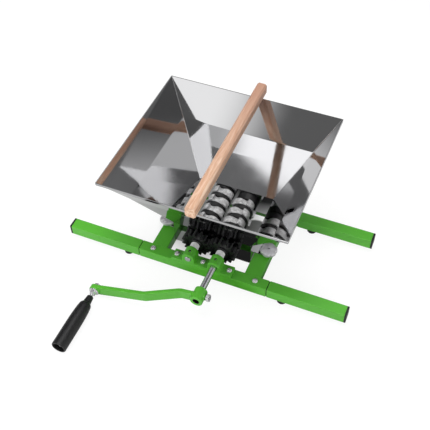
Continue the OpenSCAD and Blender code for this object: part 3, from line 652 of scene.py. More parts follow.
class SCRATTER_OT_caps_and_feet(bpy.types.Operator):
    """End caps and rubber feet"""
    bl_idname = "scratter.caps_and_feet"
    bl_label = "Caps and feet"

    def execute(self, context):
        rail_low, rail_high = corners("front_rail")
        half, z = (rail_high.z - rail_low.z) / 2, (rail_high.z + rail_low.z) / 2
        low, high = corners("leg_end_caps")
        caps = bmesh.new()
        for x in (low.x, high.x):
            for y in (low.y + half, high.y - half):
                loft(caps, cap(x, y, z, half))
        keep("end_caps", caps, "black_plastic", stands_for=("leg_end_caps",))
        low, high = corners("rubber_feet")
        radius = 12 * MM
        feet = bmesh.new()
        for x in (low.x + radius, high.x - radius):
            for y in (low.y + radius, high.y - radius):
                foot(feet, x, y, high.z, radius)
        keep("feet", feet, "black_rubber", stands_for=("rubber_feet",))
        return {"FINISHED"}


# Hopper

# Half sizes and height of the opening over the rollers and of the fold above it, and the share of the way
# from rim to fold where the hem's back begins
OPENING = Vector((90 * MM, 72 * MM, 84 * MM))
FOLD = Vector((154.12 * MM, 133.62 * MM, 199 * MM))
HEM_SHARE = 3.5 / 72


def plate(bm, outline, place, thickness):
    """Flat plate with lightly rounded edges: an outline in its own plane, given thickness along local Z."""
    edge = 0.25 * MM
    points = [Vector(p) for p in outline]
    centre = sum(points, Vector((0, 0))) / len(points)
    layers = ((0, edge), (edge, 0), (thickness - edge, 0), (thickness, edge))
    loft(bm, [[place @ Vector((*(p + (centre - p).normalized() * inset), z)) for p in points]
              for z, inset in layers])


def hopper_shell(low, high, middle_y, sizes):
    """Four sloping walls with a fold part-way up and a hem turned over at the rim, as one sheet."""
    corner, lip, hem = 1.2 * MM, 0.75 * MM, 6 * MM
    # The wall is measured level through the sloping sheet, and the rim is the sheet's inner face
    sheet, wall, rim_inset = sizes.sheet, 1.38 * MM, 1.4 * MM
    out = Vector((high.x, (high.y - low.y) / 2, high.z))
    rim = out - Vector((rim_inset, rim_inset, 0))
    # The fold's curve starts and ends this far along the walls
    reach, steps = sizes.fold_radius * 1.4, 5

    def level(x, y, z, radius):
        return [(a, middle_y + b, z) for a, b in rounded_loop(x, y, radius, 4)]

    def fold_loops(offset, radius):
        """Loops through the fold on one face of the sheet, at an offset outwards."""
        below = FOLD - (FOLD - OPENING).normalized() * reach
        above = FOLD + (rim - FOLD).normalized() * reach
        curve = [below * (1 - s) ** 2 + FOLD * 2 * s * (1 - s) + above * s ** 2
                 for s in (i / steps for i in range(steps + 1))]
        return [level(p.x + offset, p.y + offset, p.z, radius) for p in curve]

    # Each rim loop: inwards from the outer side, down from the top, and its corner radius
    round_corner = corner + lip
    turned = [(lip - a, lip - b, round_corner) for a, b in arc(0, 0, lip, (160, 120, 80, 40, 0))]
    rim_loops = [
        (1.7 * MM, 0.5 * MM, corner), *turned, (0.0, hem - 0.4 * MM, round_corner),
        (0.4 * MM, hem, round_corner), (1.1 * MM, hem, corner), (1.5 * MM, hem - 0.5 * MM, corner)]
    loops = [level(OPENING.x, OPENING.y, OPENING.z, corner), *fold_loops(0, corner)]
    loops += [level(out.x - inset, out.y - inset, out.z - drop, radius) for inset, drop, radius in rim_loops]
    # Behind the hem the profile joins the sheet's outer face, a little below the rim
    join = rim + (FOLD - rim) * HEM_SHARE
    loops.append(level(join.x + wall, join.y + wall, join.z, corner))
    loops += reversed(fold_loops(wall, corner + sheet))
    loops.append(level(OPENING.x + sheet, OPENING.y + sheet, OPENING.z, corner + sheet))
    return loft(bmesh.new(), loops, wrap=True)


def hopper_skirts(middle_y, sheet):
    """Upright skirts below the opening, slotted over the shafts, and the flanges and ears on the tubes."""
    rail_top = corners("front_rail")[1].z
    skirt_drop, slot = 13 * MM, 10.94 * MM
    flange_reach, flange_half = 14 * MM, 52 * MM
    ear_root, ear_side, ear_middle, ear_half = 10 * MM, 26 * MM, 27 * MM, 11 * MM
    ear_y = joint("rear_right_knob_turn")["pos_m"][1] - middle_y
    shaft_x, _, shaft_z = joint("crank_turn")["pos_m"]
    half_x, bottom = OPENING.x + sheet, rail_top - skirt_drop
    front = [(-half_x, bottom)]
    for x in (-shaft_x, shaft_x):
        front += [(x - slot, bottom), *arc(x, shaft_z, slot, range(180, -1, -12)), (x + slot, bottom)]
    front += [(half_x, bottom), (half_x, OPENING.z), (-half_x, OPENING.z)]
    stand = Matrix(((1, 0, 0, 0), (0, 0, -1, 0), (0, 1, 0, 0), (0, 0, 0, 1)))
    bm = bmesh.new()
    for y in (middle_y - OPENING.y, middle_y + OPENING.y + sheet):
        plate(bm, front, Matrix.Translation((0, y, 0)) @ stand, sheet)
    side_skirt = [(-OPENING.y, rail_top), (OPENING.y, rail_top), (OPENING.y, OPENING.z),
                  (-OPENING.y, OPENING.z)]
    flange = [(0, -flange_half), (flange_reach, -flange_half), (flange_reach, flange_half), (0, flange_half)]
    for side in (-1, 1):
        x = side * OPENING.x
        across = Matrix(((0, 0, side, x), (1, 0, 0, middle_y), (0, 1, 0, 0), (0, 0, 0, 1)))
        flat = Matrix(((side, 0, 0, x), (0, 1, 0, middle_y), (0, 0, 1, rail_top), (0, 0, 0, 1)))
        plate(bm, side_skirt, across, sheet)
        plate(bm, flange, flat, sheet)
        for y in (-ear_y, ear_y):
            plate(bm, [(ear_root, y - ear_half), (ear_side, y - ear_half),
                       *arc(ear_middle, y, ear_half, range(-84, 85, 14)),
                       (ear_side, y + ear_half), (ear_root, y + ear_half)], flat, sheet)
    return bm


class SCRATTER_OT_hopper(bpy.types.Operator):
    """Folded sheet hopper with its hem, skirts, flanges and ears"""
    bl_idname = "scratter.hopper"
    bl_label = "Hopper"

    def execute(self, context):
        sizes = context.scene.scratter_sizes
        low, high = corners("hopper")
        middle_y = (low.y + high.y) / 2
        keep("hopper_shell", hopper_shell(low, high, middle_y, sizes), "sheet_steel", stands_for=("hopper",),
             sharp=30)
        keep("hopper_skirts", hopper_skirts(middle_y, sizes.sheet), "sheet_steel", sharp=30)
        return {"FINISHED"}


# Rollers, gears and bearing blocks

class SCRATTER_OT_rollers(bpy.types.Operator):
    """Hooked wheels and shafts of both rollers"""
    bl_idname = "scratter.rollers"
    bl_label = "Rollers"

    def execute(self, context):
        voxel = context.scene.scratter_sizes.cast_voxel
        shaft_z = joint("crank_turn")["pos_m"][2]
        chamfer = 0.8 * MM
        for side in ROLLERS:
            body = side + "_roller"
            keep(side + "_wheels", cast_copy(side + "_cutters", voxel), "cast_aluminium", body,
                 (side + "_cutters",), sharp=60)
            low, high = corners(side + "_shaft")
            profile = chamfered(0, (high.x - low.x) / 2, low.y, high.y, chamfer)
            bm = lathe(bmesh.new(), profile, lying((low.x + high.x) / 2, shaft_z), steps=64)
            keep(side + "_shaft_ground", bm, "polished_shaft", body, (side + "_shaft",))
        return {"FINISHED"}


class SCRATTER_OT_gears(bpy.types.Operator):
    """Cast spur gears"""
    bl_idname = "scratter.gears"
    bl_label = "Gears"

    def execute(self, context):
        edge = 0.4 * MM
        for side in ROLLERS:
            keep(side + "_gear_cast", bevelled_copy(side + "_gear", edge), "black_iron", side + "_roller",
                 (side + "_gear",), sharp=40)
        return {"FINISHED"}


class SCRATTER_OT_blocks(bpy.types.Operator):
    """Cast bearing blocks and their nylon bushes"""
    bl_idname = "scratter.blocks"
    bl_label = "Bearing blocks"

    def execute(self, context):
        voxel = context.scene.scratter_sizes.cast_voxel
        outer, bore, edge = 10 * MM, 7.05 * MM, 0.7 * MM
        for node in BLOCKS:
            # The drilled finish paints the oil holes near black, as painted shade
            keep(node + "_cast", cast_copy(node, voxel, relax=4), "powder_green", stands_for=(node,),
                 finish="drilled", sharp=60)
        for node in ("front_bushes", "rear_bushes"):
            low, high = corners(node)
            profile = chamfered(bore, outer, low.y, high.y, edge)
            bm = bmesh.new()
            for x in (low.x + outer, high.x - outer):
                lathe(bm, profile, lying(x, (low.z + high.z) / 2), steps=64)
            keep(node + "_turned", bm, "white_nylon", stands_for=(node,))
        return {"FINISHED"}


# Bolts on the rails

def screw_tree():
    """One screw on each point, turned at random about its own axis."""
    tree, given, out = grow_tree("screws", (
        ("Screw", "NodeSocketObject"), ("Turn", "NodeSocketVector"), ("Seed", "NodeSocketInt"),
        ("Finish", "NodeSocketMaterial")))
    screw = add(tree, "GeometryNodeObjectInfo", Object=given.outputs["Screw"])
    turn = add(tree, "FunctionNodeRandomValue", {"data_type": "FLOAT_VECTOR"}, i1=given.outputs["Turn"],
               Seed=given.outputs["Seed"])
    return plant(tree, given, out, Points=given.outputs["Geometry"], Instance=screw.outputs["Geometry"],
                 Rotation=turn.outputs[0])


def bolt_head():
    """Domed head that stands at z = 0, with a cross recess. Its numbers are millimetres."""
    dome = ((0, 4.5), (2.2, 4.25), (4.0, 3.6), (5.3, 2.75), (6.0, 1.95), (6.25, 1.3), (6.25, 0.5),
            (5.9, 0.0), (3, 0.0), (3, -1.0), (0, -1.0))
    recess = ((2.3, 1.6, 0.5), (6, 4.4, 1.2))  # height, half length and half width of each end of a slot
    slot_corner = 0.4
    turned = lathe(bmesh.new(), [(r * MM, z * MM) for r, z in dome], upright(0, 0), steps=40)
    head = linked("bolt_head", turned)
    cutter = bmesh.new()
    for turn in (0, 90):
        place = Matrix.Rotation(math.radians(turn), 4, "Z")
        loft(cutter, [[place @ Vector((a, b, z * MM))
                       for a, b in rounded_loop(half_long * MM, half_wide * MM, slot_corner * MM, 3)]
                      for z, half_long, half_wide in recess])
    cross = linked("bolt_recess", cutter)
    cut = head.modifiers.new("recess", "BOOLEAN")
    cut.operation = "DIFFERENCE"
    cut.solver = "EXACT"
    cut.use_self = True
    cut.object = cross
    mesh = baked(head)
    bpy.data.objects.remove(cross)
    return mesh


def hexagon(radius, height, base):
    """Ring of a hexagon nut whose corners are turned down to a radius, at a height over its base."""
    half_flats, steps = 5.0 * MM, 48
    ring = []
    for i in range(steps):
        a = math.tau * i / steps
        flat = half_flats / math.cos((a + math.pi / 6) % (math.pi / 3) - math.pi / 6)
        r = min(radius, flat)
        ring.append((r * math.cos(a), r * math.sin(a), base + height))
    return ring


def rail_bolt(grip):
    """Domed bolt, with its nut and the end of its thread below the rail, grip further down."""
    nut_height, past_nut, inside_nut = 5 * MM, 3 * MM, 4 * MM
    point, radius, crest, root, pitch, turns = 2.4 * MM, 2.9 * MM, 2.98 * MM, 2.65 * MM, 0.5 * MM, 4
    nut_base = -grip - nut_height
    tip = nut_base - past_nut
    shank = [(0, tip), (point, tip), (radius, tip + pitch)]
    for i in range(turns):
        z = tip + (i + 2) * pitch
        shank += [(root, z - pitch / 2), (crest, z)]
    shank += [(radius, tip + inside_nut), (0, tip + inside_nut)]
    nut = ((2.6, 5.0), (4.7, 5.0), (5.77, 4.4), (5.77, 0.6), (4.9, 0.0), (2.6, 0.0))
    bm = bmesh.new()
    bm.from_mesh(bolt_head())
    lathe(bm, shank, upright(0, 0), steps=24)
    return loft(bm, [hexagon(r * MM, z * MM, nut_base) for r, z in nut], wrap=True)


class SCRATTER_OT_screws(bpy.types.Operator):
    """Domed bolts with their nuts on the rails"""
    bl_idname = "scratter.screws"
    bl_label = "Rail bolts"

    def execute(self, context):
        seed = context.scene.scratter_sizes.seed
        rail_low, rail_high = corners("front_rail")
        rail_y = (rail_low.y + rail_high.y) / 2
        leg_x, block_x, block_foot = 120 * MM, 61 * MM, 8 * MM
        sets = (("leg_bolts", (-leg_x, leg_x), rail_high.z),
                ("block_bolts", (-block_x, 0.0, block_x), rail_high.z + block_foot))
        tree = screw_tree()
        for i, (node, places, top) in enumerate(sets):
            points = bmesh.new()
            for y in (rail_y, -rail_y):
                for x in places:
                    points.verts.new((x, y, top))
            one = linked("one_bolt", rail_bolt(top - rail_low.z))
            mesh = grown(points, tree, {"Screw": one, "Turn": (0.0, 0.0, math.tau), "Seed": seed + i,
                                        "Finish": finishes["zinc_steel"]})
            bpy.data.objects.remove(one)
            keep(node + "_plated", mesh, "zinc_steel", stands_for=(node,), sharp=30)
        return {"FINISHED"}


# Star knobs

def star_knob(place, steps):
    """Star knob: a domed, lobed head with a dimple, on a short neck. Its numbers are millimetres."""
    lobes, lobe_radius, hollow, droop = 6, 19.0, 2.2, 0.35
    neck_radius, neck_top = 9.0, 3.6
    # Share of the head's radius, and height
    head_shares = ((0.86, 4.0), (0.965, 4.5), (1.0, 5.6), (1.0, 9.2), (0.985, 10.4), (0.94, 11.4),
                   (0.86, 12.1), (0.74, 12.95), (0.5, 13.5), (0.3, 13.85), (0.135, 13.98), (0.12, 13.6),
                   (0.11, 9.5))
    lobed_from, lobed_over = 0.3, 0.6
    angles = [math.tau * i / steps for i in range(steps)]
    waves = [0.5 + 0.5 * math.cos(lobes * a) for a in angles]
    rings = [[(neck_radius, z)] * steps for z in (0.0, neck_top)]
    for share, z in head_shares:
        lobed = max(0.0, min(1.0, (share - lobed_from) / lobed_over))
        rings.append([(share * (lobe_radius - hollow * (1 - wave ** 0.4) * lobed),
                       z - droop * (1 - wave) * lobed) for wave in waves])
    return loft(bmesh.new(), [[place @ Vector((r * MM * math.cos(a), r * MM * math.sin(a), z * MM))
                               for a, (r, z) in zip(angles, ring)] for ring in rings])


class SCRATTER_OT_knobs(bpy.types.Operator):
    """Star knobs that clamp the hopper's ears"""
    bl_idname = "scratter.knobs"
    bl_label = "Star knobs"

    def execute(self, context):
        head, stud_radius, point, point_height, sunk = 14 * MM, 2.9 * MM, 2.4 * MM, 0.6 * MM, 0.5 * MM
        first_turn = 0.5
        for i, node in enumerate(KNOBS):
            low, high = corners(node)
            x, y, seat = (low.x + high.x) / 2, (low.y + high.y) / 2, high.z - head
            place = upright(x, y, seat) @ Matrix.Rotation(first_turn + i, 4, "Z")
            bm = star_knob(place, context.scene.scratter_sizes.knob_steps)
            lathe(bm, [(0, low.z), (point, low.z), (stud_radius, low.z + point_height),
                       (stud_radius, seat + sunk), (0, seat + sunk)], upright(x, y), steps=24)
            keep(node + "_cast", bm, "zinc_steel", node + "_body", (node,), finish="knob", sharp=40)
        return {"FINISHED"}


# Crank and grip

def crank_place():
    """Matrix that puts local X along the crank from the shaft to the grip, Y as in the frame."""
    shaft, grip = Vector(joint("crank_turn")["pos_m"]), Vector(joint("grip_spin")["pos_m"])
    x_axis = Vector((grip.x - shaft.x, 0, grip.z - shaft.z)).normalized()
    y_axis = Vector((0, 1, 0))
    turn = Matrix((x_axis, y_axis, x_axis.cross(y_axis))).transposed().to_4x4()
    return Matrix.Translation((shaft.x, 0, shaft.z)) @ turn


class SCRATTER_OT_crank(bpy.types.Operator):
    """Welded crank arm, its thumb screw, and the nuts and washer at the grip"""
    bl_idname = "scratter.crank"
    bl_label = "Crank"

    def execute(self, context):
        fine_voxel = 0.6 * MM
        # The drilled finish paints the hub's bore near black, as painted shade
        keep("crank_arm_welded", cast_copy("crank_arm", fine_voxel), "powder_green", "drive_roller",
             ("crank_arm",), finish="drilled", sharp=60)
        # The weld runs round the bar where it meets the hub, and nearer to the shaft above and below the bar
        place = crank_place()
        weld_x, bar_y, half_h, half_t, inner, rounding = (
            size * MM for size in (12.04, -199.5, 12, 4, 3, 2))
        edge, front, rear = half_h - rounding, bar_y - half_t, bar_y + half_t
        loop = [place @ Vector(p) for p in (
            (weld_x, front, -edge), (weld_x, front, edge), (weld_x - inner, bar_y, half_h),
            (weld_x, rear, edge), (weld_x, rear, -edge), (weld_x - inner, bar_y, -half_h),
            (weld_x, front, -edge))]
        keep("crank_weld", weld_mesh([loop]), "powder_green", "drive_roller", sharp=80)
        for node, body, bevel in (
                ("handle_bolt", "drive_roller", 0.5), ("handle_nuts", "drive_roller", 0.5),
                ("handle_washer", "drive_roller", 0.3), ("crank_thumb_screw", "thumb_screw", 0.5)):
            keep(node.removeprefix("crank_") + "_plated", bevelled_copy(node, bevel * MM), "zinc_steel",
                 body, (node,), sharp=30)
        return {"FINISHED"}


def smooth_profile(points, per_span=6):
    """A finer profile through the given points, by a Catmull-Rom curve."""
    vectors = [Vector(p) for p in points]
    padded = [vectors[0] * 2 - vectors[1], *vectors, vectors[-1] * 2 - vectors[-2]]
    fine = []
    for i in range(1, len(padded) - 2):
        a, b, c, d = padded[i - 1:i + 3]
        for k in range(per_span):
            t = k / per_span
            fine.append(0.5 * ((2 * b) + (c - a) * t + (2 * a - 5 * b + 4 * c - d) * t * t +
                               (3 * b - a - 3 * c + d) * t ** 3))
    fine.append(vectors[-1])
    return [(p.x, p.y) for p in fine]


class SCRATTER_OT_grip(bpy.types.Operator):
    """Moulded grip with a necked top, a shoulder and a recessed end"""
    bl_idname = "scratter.grip"
    bl_label = "Grip"

    def execute(self, context):
        low, high = corners("handle_grip")
        spin = joint("grip_spin")["pos_m"]
        radius, bore = 16 * MM, 4.1 * MM
        # Shares of the radius and of the grip's length
        neck = [(0.405, 0.0), (0.44, 0.004), (0.455, 0.012), (0.485, 0.05), (0.53, 0.1), (0.565, 0.128)]
        shoulder = [(0.60, 0.136), (0.70, 0.146), (0.765, 0.156), (0.80, 0.168)]
        barrel = smooth_profile([(0.80, 0.168), (0.85, 0.2), (0.92, 0.28), (0.965, 0.38), (0.99, 0.5),
                                 (1.0, 0.65), (1.0, 0.8), (1.0, 0.972)])
        end = [(0.995, 0.985), (0.98, 0.995), (0.95, 1.0), (0.80, 1.0), (0.785, 0.995), (0.78, 0.985)]
        recess = [(0.78, 0.94), (0.77, 0.915), (0.74, 0.91), (0.26, 0.91)]
        shares = neck + shoulder + barrel[1:] + end + recess
        profile = [(a * radius, -b * (high.y - low.y)) for a, b in shares] + [(bore, 0.0)]
        bm = lathe(bmesh.new(), profile, lying(spin[0], spin[2], high.y), steps=96)
        keep("grip_moulded", bm, "black_plastic", "grip", ("handle_grip",), sharp=35)
        return {"FINISHED"}


# Pusher bar

def bar_section(half, chamfer, edge):
    """Octagon with corners rounded by an edge width, as (across, up) points about its centre."""
    w, h = half.x, half.z
    octagon = [Vector(p) for p in (
        (w - chamfer, -h), (w, -h + chamfer), (w, h - chamfer), (w - chamfer, h),
        (-w + chamfer, h), (-w, h - chamfer), (-w, -h + chamfer), (-w + chamfer, -h))]
    points = []
    for before, p, after in zip([octagon[-1], *octagon], octagon, [*octagon[1:], octagon[0]]):
        a, b = (p + (other - p).normalized() * edge for other in (before, after))
        points += [a * (1 - s) ** 2 + p * 2 * s * (1 - s) + b * s ** 2 for s in (0.0, 0.33, 0.67, 1.0)]
    return points


class SCRATTER_OT_pusher(bpy.types.Operator):
    """Chamfered beech bar that lies across the rim"""
    bl_idname = "scratter.pusher"
    bl_label = "Pusher bar"

    def execute(self, context):
        low, high = corners("pusher_bar")
        middle, half = (low + high) / 2, (high - low) / 2
        edge = context.scene.scratter_sizes.bar_edge
        # Where the end's rim is rounded, the chamfer narrows by a share of the inset
        chamfer, narrowing = 4 * MM, 0.4
        # Millimetres from the end and inwards, where the end's rim is rounded
        end_round = ((0.0, 0.7), (0.2, 0.25), (0.7, 0.0))
        stations = [(low.y + depth * MM, inset * MM) for depth, inset in end_round]
        stations += [(high.y - depth * MM, inset * MM) for depth, inset in reversed(end_round)]
        loops = []
        for y, inset in stations:
            section = bar_section(half - Vector((inset, 0, inset)), chamfer - inset * narrowing, edge)
            loops.append([(middle.x + p.x, y, middle.z + p.y) for p in section])
        keep("pusher_planed", loft(bmesh.new(), loops), "beech", "pusher", ("pusher_bar",), sharp=25)
        return {"FINISHED"}


class SCRATTER_OT_other_finishes(bpy.types.Operator):
    """Materials on the CAD nodes that stay as they are"""
    bl_idname = "scratter.other_finishes"
    bl_label = "Other finishes"

    def execute(self, context):
        slots = {p["node"]: p["material_slot"] for p in frame["record"]["subparts"]}
        for node, obj in frame["nodes"].items():
            obj.data.materials.clear()
            # The leg joiners get the dark tone that is painted shade in the leg seams
            obj.data.materials.append(finishes["joiners" if node == "leg_joiners" else slots[node]])
        return {"FINISHED"}


# Studio

# Places and sizes are metres, angles are degrees, and an azimuth in the canopy turns from +Y towards +X
WHITE = (1.0, 1.0, 1.0, 1.0)
FLOOR_HALF, CANOPY_RADIUS, CANOPY_STEPS, CANOPY_ELEVATIONS = 12.0, 8.0, 48, range(1, 90, 8)
FLOOR_LEVEL = 0.88
# Spot on the floor, radii between which a deep shade fades, and the level inside it
FLOOR_SHADES = (
    ((-0.04, 0.045, 0.0), 0.06, 0.13, 0.1),
    ((0.07, 0.005, 0.0), 0.035, 0.045, 0.12),
    ((0.06, 0.05, 0.0), 0.035, 0.042, 0.05))
# The same for the dark floor that only mirrors show
MIRRORED_SHADE = ((0.04, -0.06, 0.0), 0.095, 0.13)
# Elevations between which the canopy's grey rises, and its levels there
CANOPY_GREYS = (40, 52, 0.165, 0.37)
# Azimuth, elevation, radii between which a round field fades, and its strength. A negative one darkens
CANOPY_DISCS = (
    (-27, 88.7, 24.6, 25.8, 2.55), (-55, 64, 4, 7, -1.8), (-67, 57.5, 1.8, 3, 1.3), (46, 26, 9, 13, 1.0))
# Azimuth, half widths between which a white box fades, its top, the height of its fade and its strength
CANOPY_BOXES = ((-135, 25, 33, 24, 8, 1.24), (108, 25, 55, 31, 8, 0.95))
# Name, place, point it aims at, width and height, watts. The last one is the light that the hopper's mirror
# walls throw up to the bar's lower side
LIGHTS = (
    ("key", (-1.5, -2.0, 0.85), (0, -0.1, 0.08), (1.4, 1.0), 32),
    ("low_left", (-0.95, -0.5, 0.3), (-0.2, -0.11, 0.03), (0.4, 0.3), 0.5),
    ("overhead", (-0.2, 0.1, 1.9), (0, 0, 0.05), (1.3, 1.3), 21.5),
    ("fill", (1.6, -1.2, 1.2), (0, 0, 0.1), (1.2, 1.2), 14),
    ("hopper_bounce", (-0.02, 0.03, 0.15), (0.0, 0.02, 0.3), (0.2, 0.24), 0.25))
# The camera that was fitted to the photograph
CAMERA_PLACE = (0.41810, -0.98112, 1.32555)
CAMERA_AZIMUTH, CAMERA_ELEVATION, CAMERA_ROLL = 23.818, 49.221, 1.542
FOCAL_PIXELS, PHOTO_PIXELS, SENSOR_WIDTH = 741.05, 430, 36


def aim(azimuth, elevation):
    """Unit direction to an azimuth and elevation."""
    a, e = math.radians(azimuth), math.radians(elevation)
    return math.sin(a) * math.cos(e), math.cos(a) * math.cos(e), math.sin(e)


def seen_rays(tree):
    """1 for rays from the camera, from glossy surfaces and through clear ones, and 0 for the rest."""
    path = add(tree, "ShaderNodeLightPath")
    first = add(tree, "ShaderNodeMath", {"operation": "MAXIMUM"}, i0=path.outputs["Is Camera Ray"],
                i1=path.outputs["Is Glossy Ray"])
    return add(tree, "ShaderNodeMath", {"operation": "MAXIMUM"}, i0=first.outputs[0],
               i1=path.outputs["Is Transmission Ray"]).outputs[0]


def shown_floor():
    """White studio floor: white to the eye and in reflections, with the object's soft shadow left on it.
    Deep shade below the machine keeps the studio's light from the floor that shows between the rollers."""
    material, tree = empty_material("studio_floor")
    mirrored = add(tree, "ShaderNodeLightPath").outputs["Is Glossy Ray"]
    place = add(tree, "ShaderNodeTexCoord").outputs["Object"]

    def shade(spot, inner, outer, dark, light):
        """A level that rises from dark to light between two radii about a spot."""
        away = add(tree, "ShaderNodeVectorMath", {"operation": "DISTANCE"}, i0=place, i1=spot)
        return add(tree, "ShaderNodeMapRange", i0=away.outputs["Value"], i1=inner, i2=outer, i3=dark,
                   i4=light).outputs[0]

    shown = FLOOR_LEVEL
    for spot, inner, outer, dark in FLOOR_SHADES:
        shown = add(tree, "ShaderNodeMath", {"operation": "MINIMUM"}, i0=shown,
                    i1=shade(spot, inner, outer, dark, FLOOR_LEVEL)).outputs[0]
    mirror_tone = add(tree, "ShaderNodeMix", COLOUR_MIX, i0=shade(*MIRRORED_SHADE, 0.0, 1.0),
                      i6=linear("#242424"), i7=linear("#A8A8A8"))
    tone = add(tree, "ShaderNodeMix", COLOUR_MIX, i0=mirrored, i6=linear("#6E6E6E"),
               i7=mirror_tone.outputs[2])
    glow = add(tree, "ShaderNodeMix", i0=mirrored, i2=shown, i3=shade(*MIRRORED_SHADE, 0.02, 0.25))
    dim = add(tree, "ShaderNodeBsdfDiffuse", Color=tone.outputs[2])
    bright = add(tree, "ShaderNodeEmission", Color=WHITE, Strength=glow.outputs[0])
    white = add(tree, "ShaderNodeAddShader", i0=dim.outputs[0], i1=bright.outputs[0])
    lit = add(tree, "ShaderNodeBsdfDiffuse", Color=linear("#E9E9E9"))
    mixed = add(tree, "ShaderNodeMixShader", i0=seen_rays(tree), i1=lit.outputs[0], i2=white.outputs[0])
    add(tree, "ShaderNodeOutputMaterial", Surface=mixed.outputs[0])
    return material


def canopy_finish():
    """Grey studio ceiling with white boxes and a dark spot, seen only in reflections."""
    material, tree = empty_material("studio_canopy")
    place = add(tree, "ShaderNodeTexCoord").outputs["Object"]
    direction = add(tree, "ShaderNodeVectorMath", {"operation": "NORMALIZE"}, i0=place).outputs[0]
    height = add(tree, "ShaderNodeSeparateXYZ", Vector=direction).outputs["Z"]
    flat = add(tree, "ShaderNodeVectorMath", {"operation": "MULTIPLY"}, i0=place, i1=(1.0, 1.0, 0.0))
    heading = add(tree, "ShaderNodeVectorMath", {"operation": "NORMALIZE"}, i0=flat.outputs[0]).outputs[0]

    def near(towards, target, inner, outer, strength):
        """Strength within inner degrees of a target, fading to none at outer degrees."""
        close = add(tree, "ShaderNodeVectorMath", {"operation": "DOT_PRODUCT"}, i0=towards, i1=target)
        return add(tree, "ShaderNodeMapRange", SMOOTH_EDGE, i0=close.outputs["Value"],
                   i1=math.cos(math.radians(outer)), i2=math.cos(math.radians(inner)), i3=0.0, i4=strength)

    def rise(bottom, top, low, high):
        """A level that goes from low to high between two elevations."""
        return add(tree, "ShaderNodeMapRange", SMOOTH_EDGE, i0=height, i1=math.sin(math.radians(bottom)),
                   i2=math.sin(math.radians(top)), i3=low, i4=high)

    fields = [near(direction, aim(azimuth, elevation), inner, outer, strength)
              for azimuth, elevation, inner, outer, strength in CANOPY_DISCS]
    for azimuth, inner, outer, top, fade, strength in CANOPY_BOXES:
        across = near(heading, aim(azimuth, 0), inner, outer, strength)
        fields.append(add(tree, "ShaderNodeMath", {"operation": "MULTIPLY"}, i0=across.outputs[0],
                          i1=rise(top, top + fade, 1.0, 0.0).outputs[0]))
    level = rise(*CANOPY_GREYS)
    for field in fields:
        level = add(tree, "ShaderNodeMath", {"operation": "ADD"}, i0=level.outputs[0], i1=field.outputs[0])
    light = add(tree, "ShaderNodeEmission", Color=WHITE, Strength=level.outputs[0])
    add(tree, "ShaderNodeOutputMaterial", Surface=light.outputs[0])
    return material


def studio_world():
    """White backdrop for the eye and for reflections, and a plain level of light on the object."""
    object_level, backdrop_level = 0.42, 1.0
    world = bpy.data.worlds.new("studio")
    bpy.context.scene.world = world
    world.use_nodes = True
    tree = world.node_tree
    tree.nodes.clear()
    level = add(tree, "ShaderNodeMapRange", i0=seen_rays(tree), i1=0.0, i2=1.0, i3=object_level,
                i4=backdrop_level)
    sky = add(tree, "ShaderNodeBackground", Color=WHITE, Strength=level.outputs[0])
    add(tree, "ShaderNodeOutputWorld", Surface=sky.outputs[0])


def area_light(name, place, target, size, power):
    """Soft box at a place, turned to a point. It lights the object and isn't itself mirrored."""
    data = bpy.data.lights.new(name, "AREA")
    data.shape = "RECTANGLE"
    data.size, data.size_y = size
    data.energy = power
    lamp = bpy.data.objects.new(name, data)
    lamp.location = place
    lamp.rotation_euler = (Vector(target) - Vector(place)).to_track_quat("-Z", "Y").to_euler()
    lamp.visible_glossy = lamp.visible_camera = False
    bpy.context.scene.collection.objects.link(lamp)


def photo_camera(scene):
    """Camera at the photograph's angle."""
    data = bpy.data.cameras.new("camera")
    data.sensor_width = SENSOR_WIDTH
    data.lens = FOCAL_PIXELS / PHOTO_PIXELS * SENSOR_WIDTH
    data.clip_end = 100
    camera = bpy.data.objects.new("camera", data)
    azimuth, elevation, roll = (math.radians(a) for a in (CAMERA_AZIMUTH, CAMERA_ELEVATION, CAMERA_ROLL))
    camera.matrix_world = Matrix.Translation(CAMERA_PLACE) @ \
        Matrix.Rotation(azimuth, 4, "Z") @ Matrix.Rotation(math.pi / 2 - elevation, 4, "X") @ \
        Matrix.Rotation(-roll, 4, "Z")
    scene.collection.objects.link(camera)
    scene.camera = camera


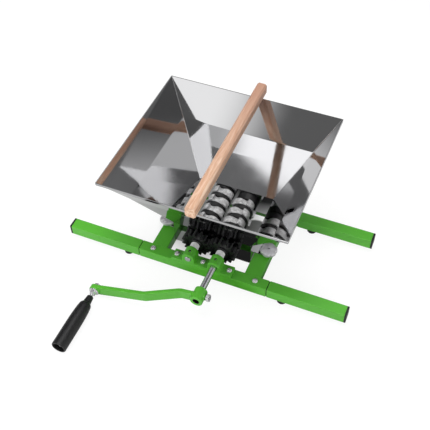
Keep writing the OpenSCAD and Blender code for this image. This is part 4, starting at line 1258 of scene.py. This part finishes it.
class SCRATTER_OT_stage(bpy.types.Operator):
    """Floor, studio lights, backdrop and the camera at the photograph's angle"""
    bl_idname = "scratter.stage"
    bl_label = "Studio"

    def execute(self, context):
        context.scene.view_settings.view_transform = "Standard"
        square = bmesh.new()
        square.faces.new([square.verts.new((x * FLOOR_HALF, y * FLOOR_HALF, 0))
                          for x, y in ((-1, -1), (1, -1), (1, 1), (-1, 1))])
        floor = linked("floor", square)
        floor.data.materials.append(shown_floor())
        around = [360 * i / CANOPY_STEPS for i in range(CANOPY_STEPS)]
        upwards = arc(0, 0, CANOPY_RADIUS, CANOPY_ELEVATIONS)
        loops = [[(x, y, z) for x, y in arc(0, 0, r, around)] for r, z in upwards]
        canopy = linked("canopy", loft(bmesh.new(), loops, ends=False))
        canopy.data.materials.append(canopy_finish())
        canopy.visible_camera = canopy.visible_diffuse = canopy.visible_shadow = False
        canopy.visible_transmission = canopy.visible_volume_scatter = False
        studio_world()
        for light in LIGHTS:
            area_light(*light)
        photo_camera(context.scene)
        return {"FINISHED"}


OPERATORS = (SCRATTER_OT_other_finishes, SCRATTER_OT_tubes, SCRATTER_OT_caps_and_feet, SCRATTER_OT_hopper,
             SCRATTER_OT_rollers, SCRATTER_OT_gears, SCRATTER_OT_blocks, SCRATTER_OT_screws,
             SCRATTER_OT_knobs, SCRATTER_OT_crank, SCRATTER_OT_grip, SCRATTER_OT_pusher, SCRATTER_OT_stage)


class SCRATTER_PT_panel(bpy.types.Panel):
    """Lists the sizes, the colours and a button for each step that makes pieces"""
    bl_idname = "SCRATTER_PT_panel"
    bl_label = "Apple scratter"
    bl_space_type = "VIEW_3D"
    bl_region_type = "UI"
    bl_category = "Scratter"

    def draw(self, context):
        for group in (context.scene.scratter_sizes, context.scene.scratter_colours):
            for key in group.__annotations__:
                self.layout.prop(group, key)
        for operator in OPERATORS:
            self.layout.operator(operator.bl_idname)


CLASSES = (ScratterSizes, ScratterColours, *OPERATORS, SCRATTER_PT_panel)


def register():
    for cls in CLASSES:
        bpy.utils.register_class(cls)
    bpy.types.Scene.scratter_sizes = PointerProperty(type=ScratterSizes)
    bpy.types.Scene.scratter_colours = PointerProperty(type=ScratterColours)


def unregister():
    del bpy.types.Scene.scratter_sizes
    del bpy.types.Scene.scratter_colours
    for cls in reversed(CLASSES):
        bpy.utils.unregister_class(cls)


def main():
    register()
    make_finishes(bpy.context.scene.scratter_colours)
    for operator in OPERATORS:
        group, name = operator.bl_idname.split(".")
        getattr(getattr(bpy.ops, group), name)()


if __name__ == "__main__":
    main()
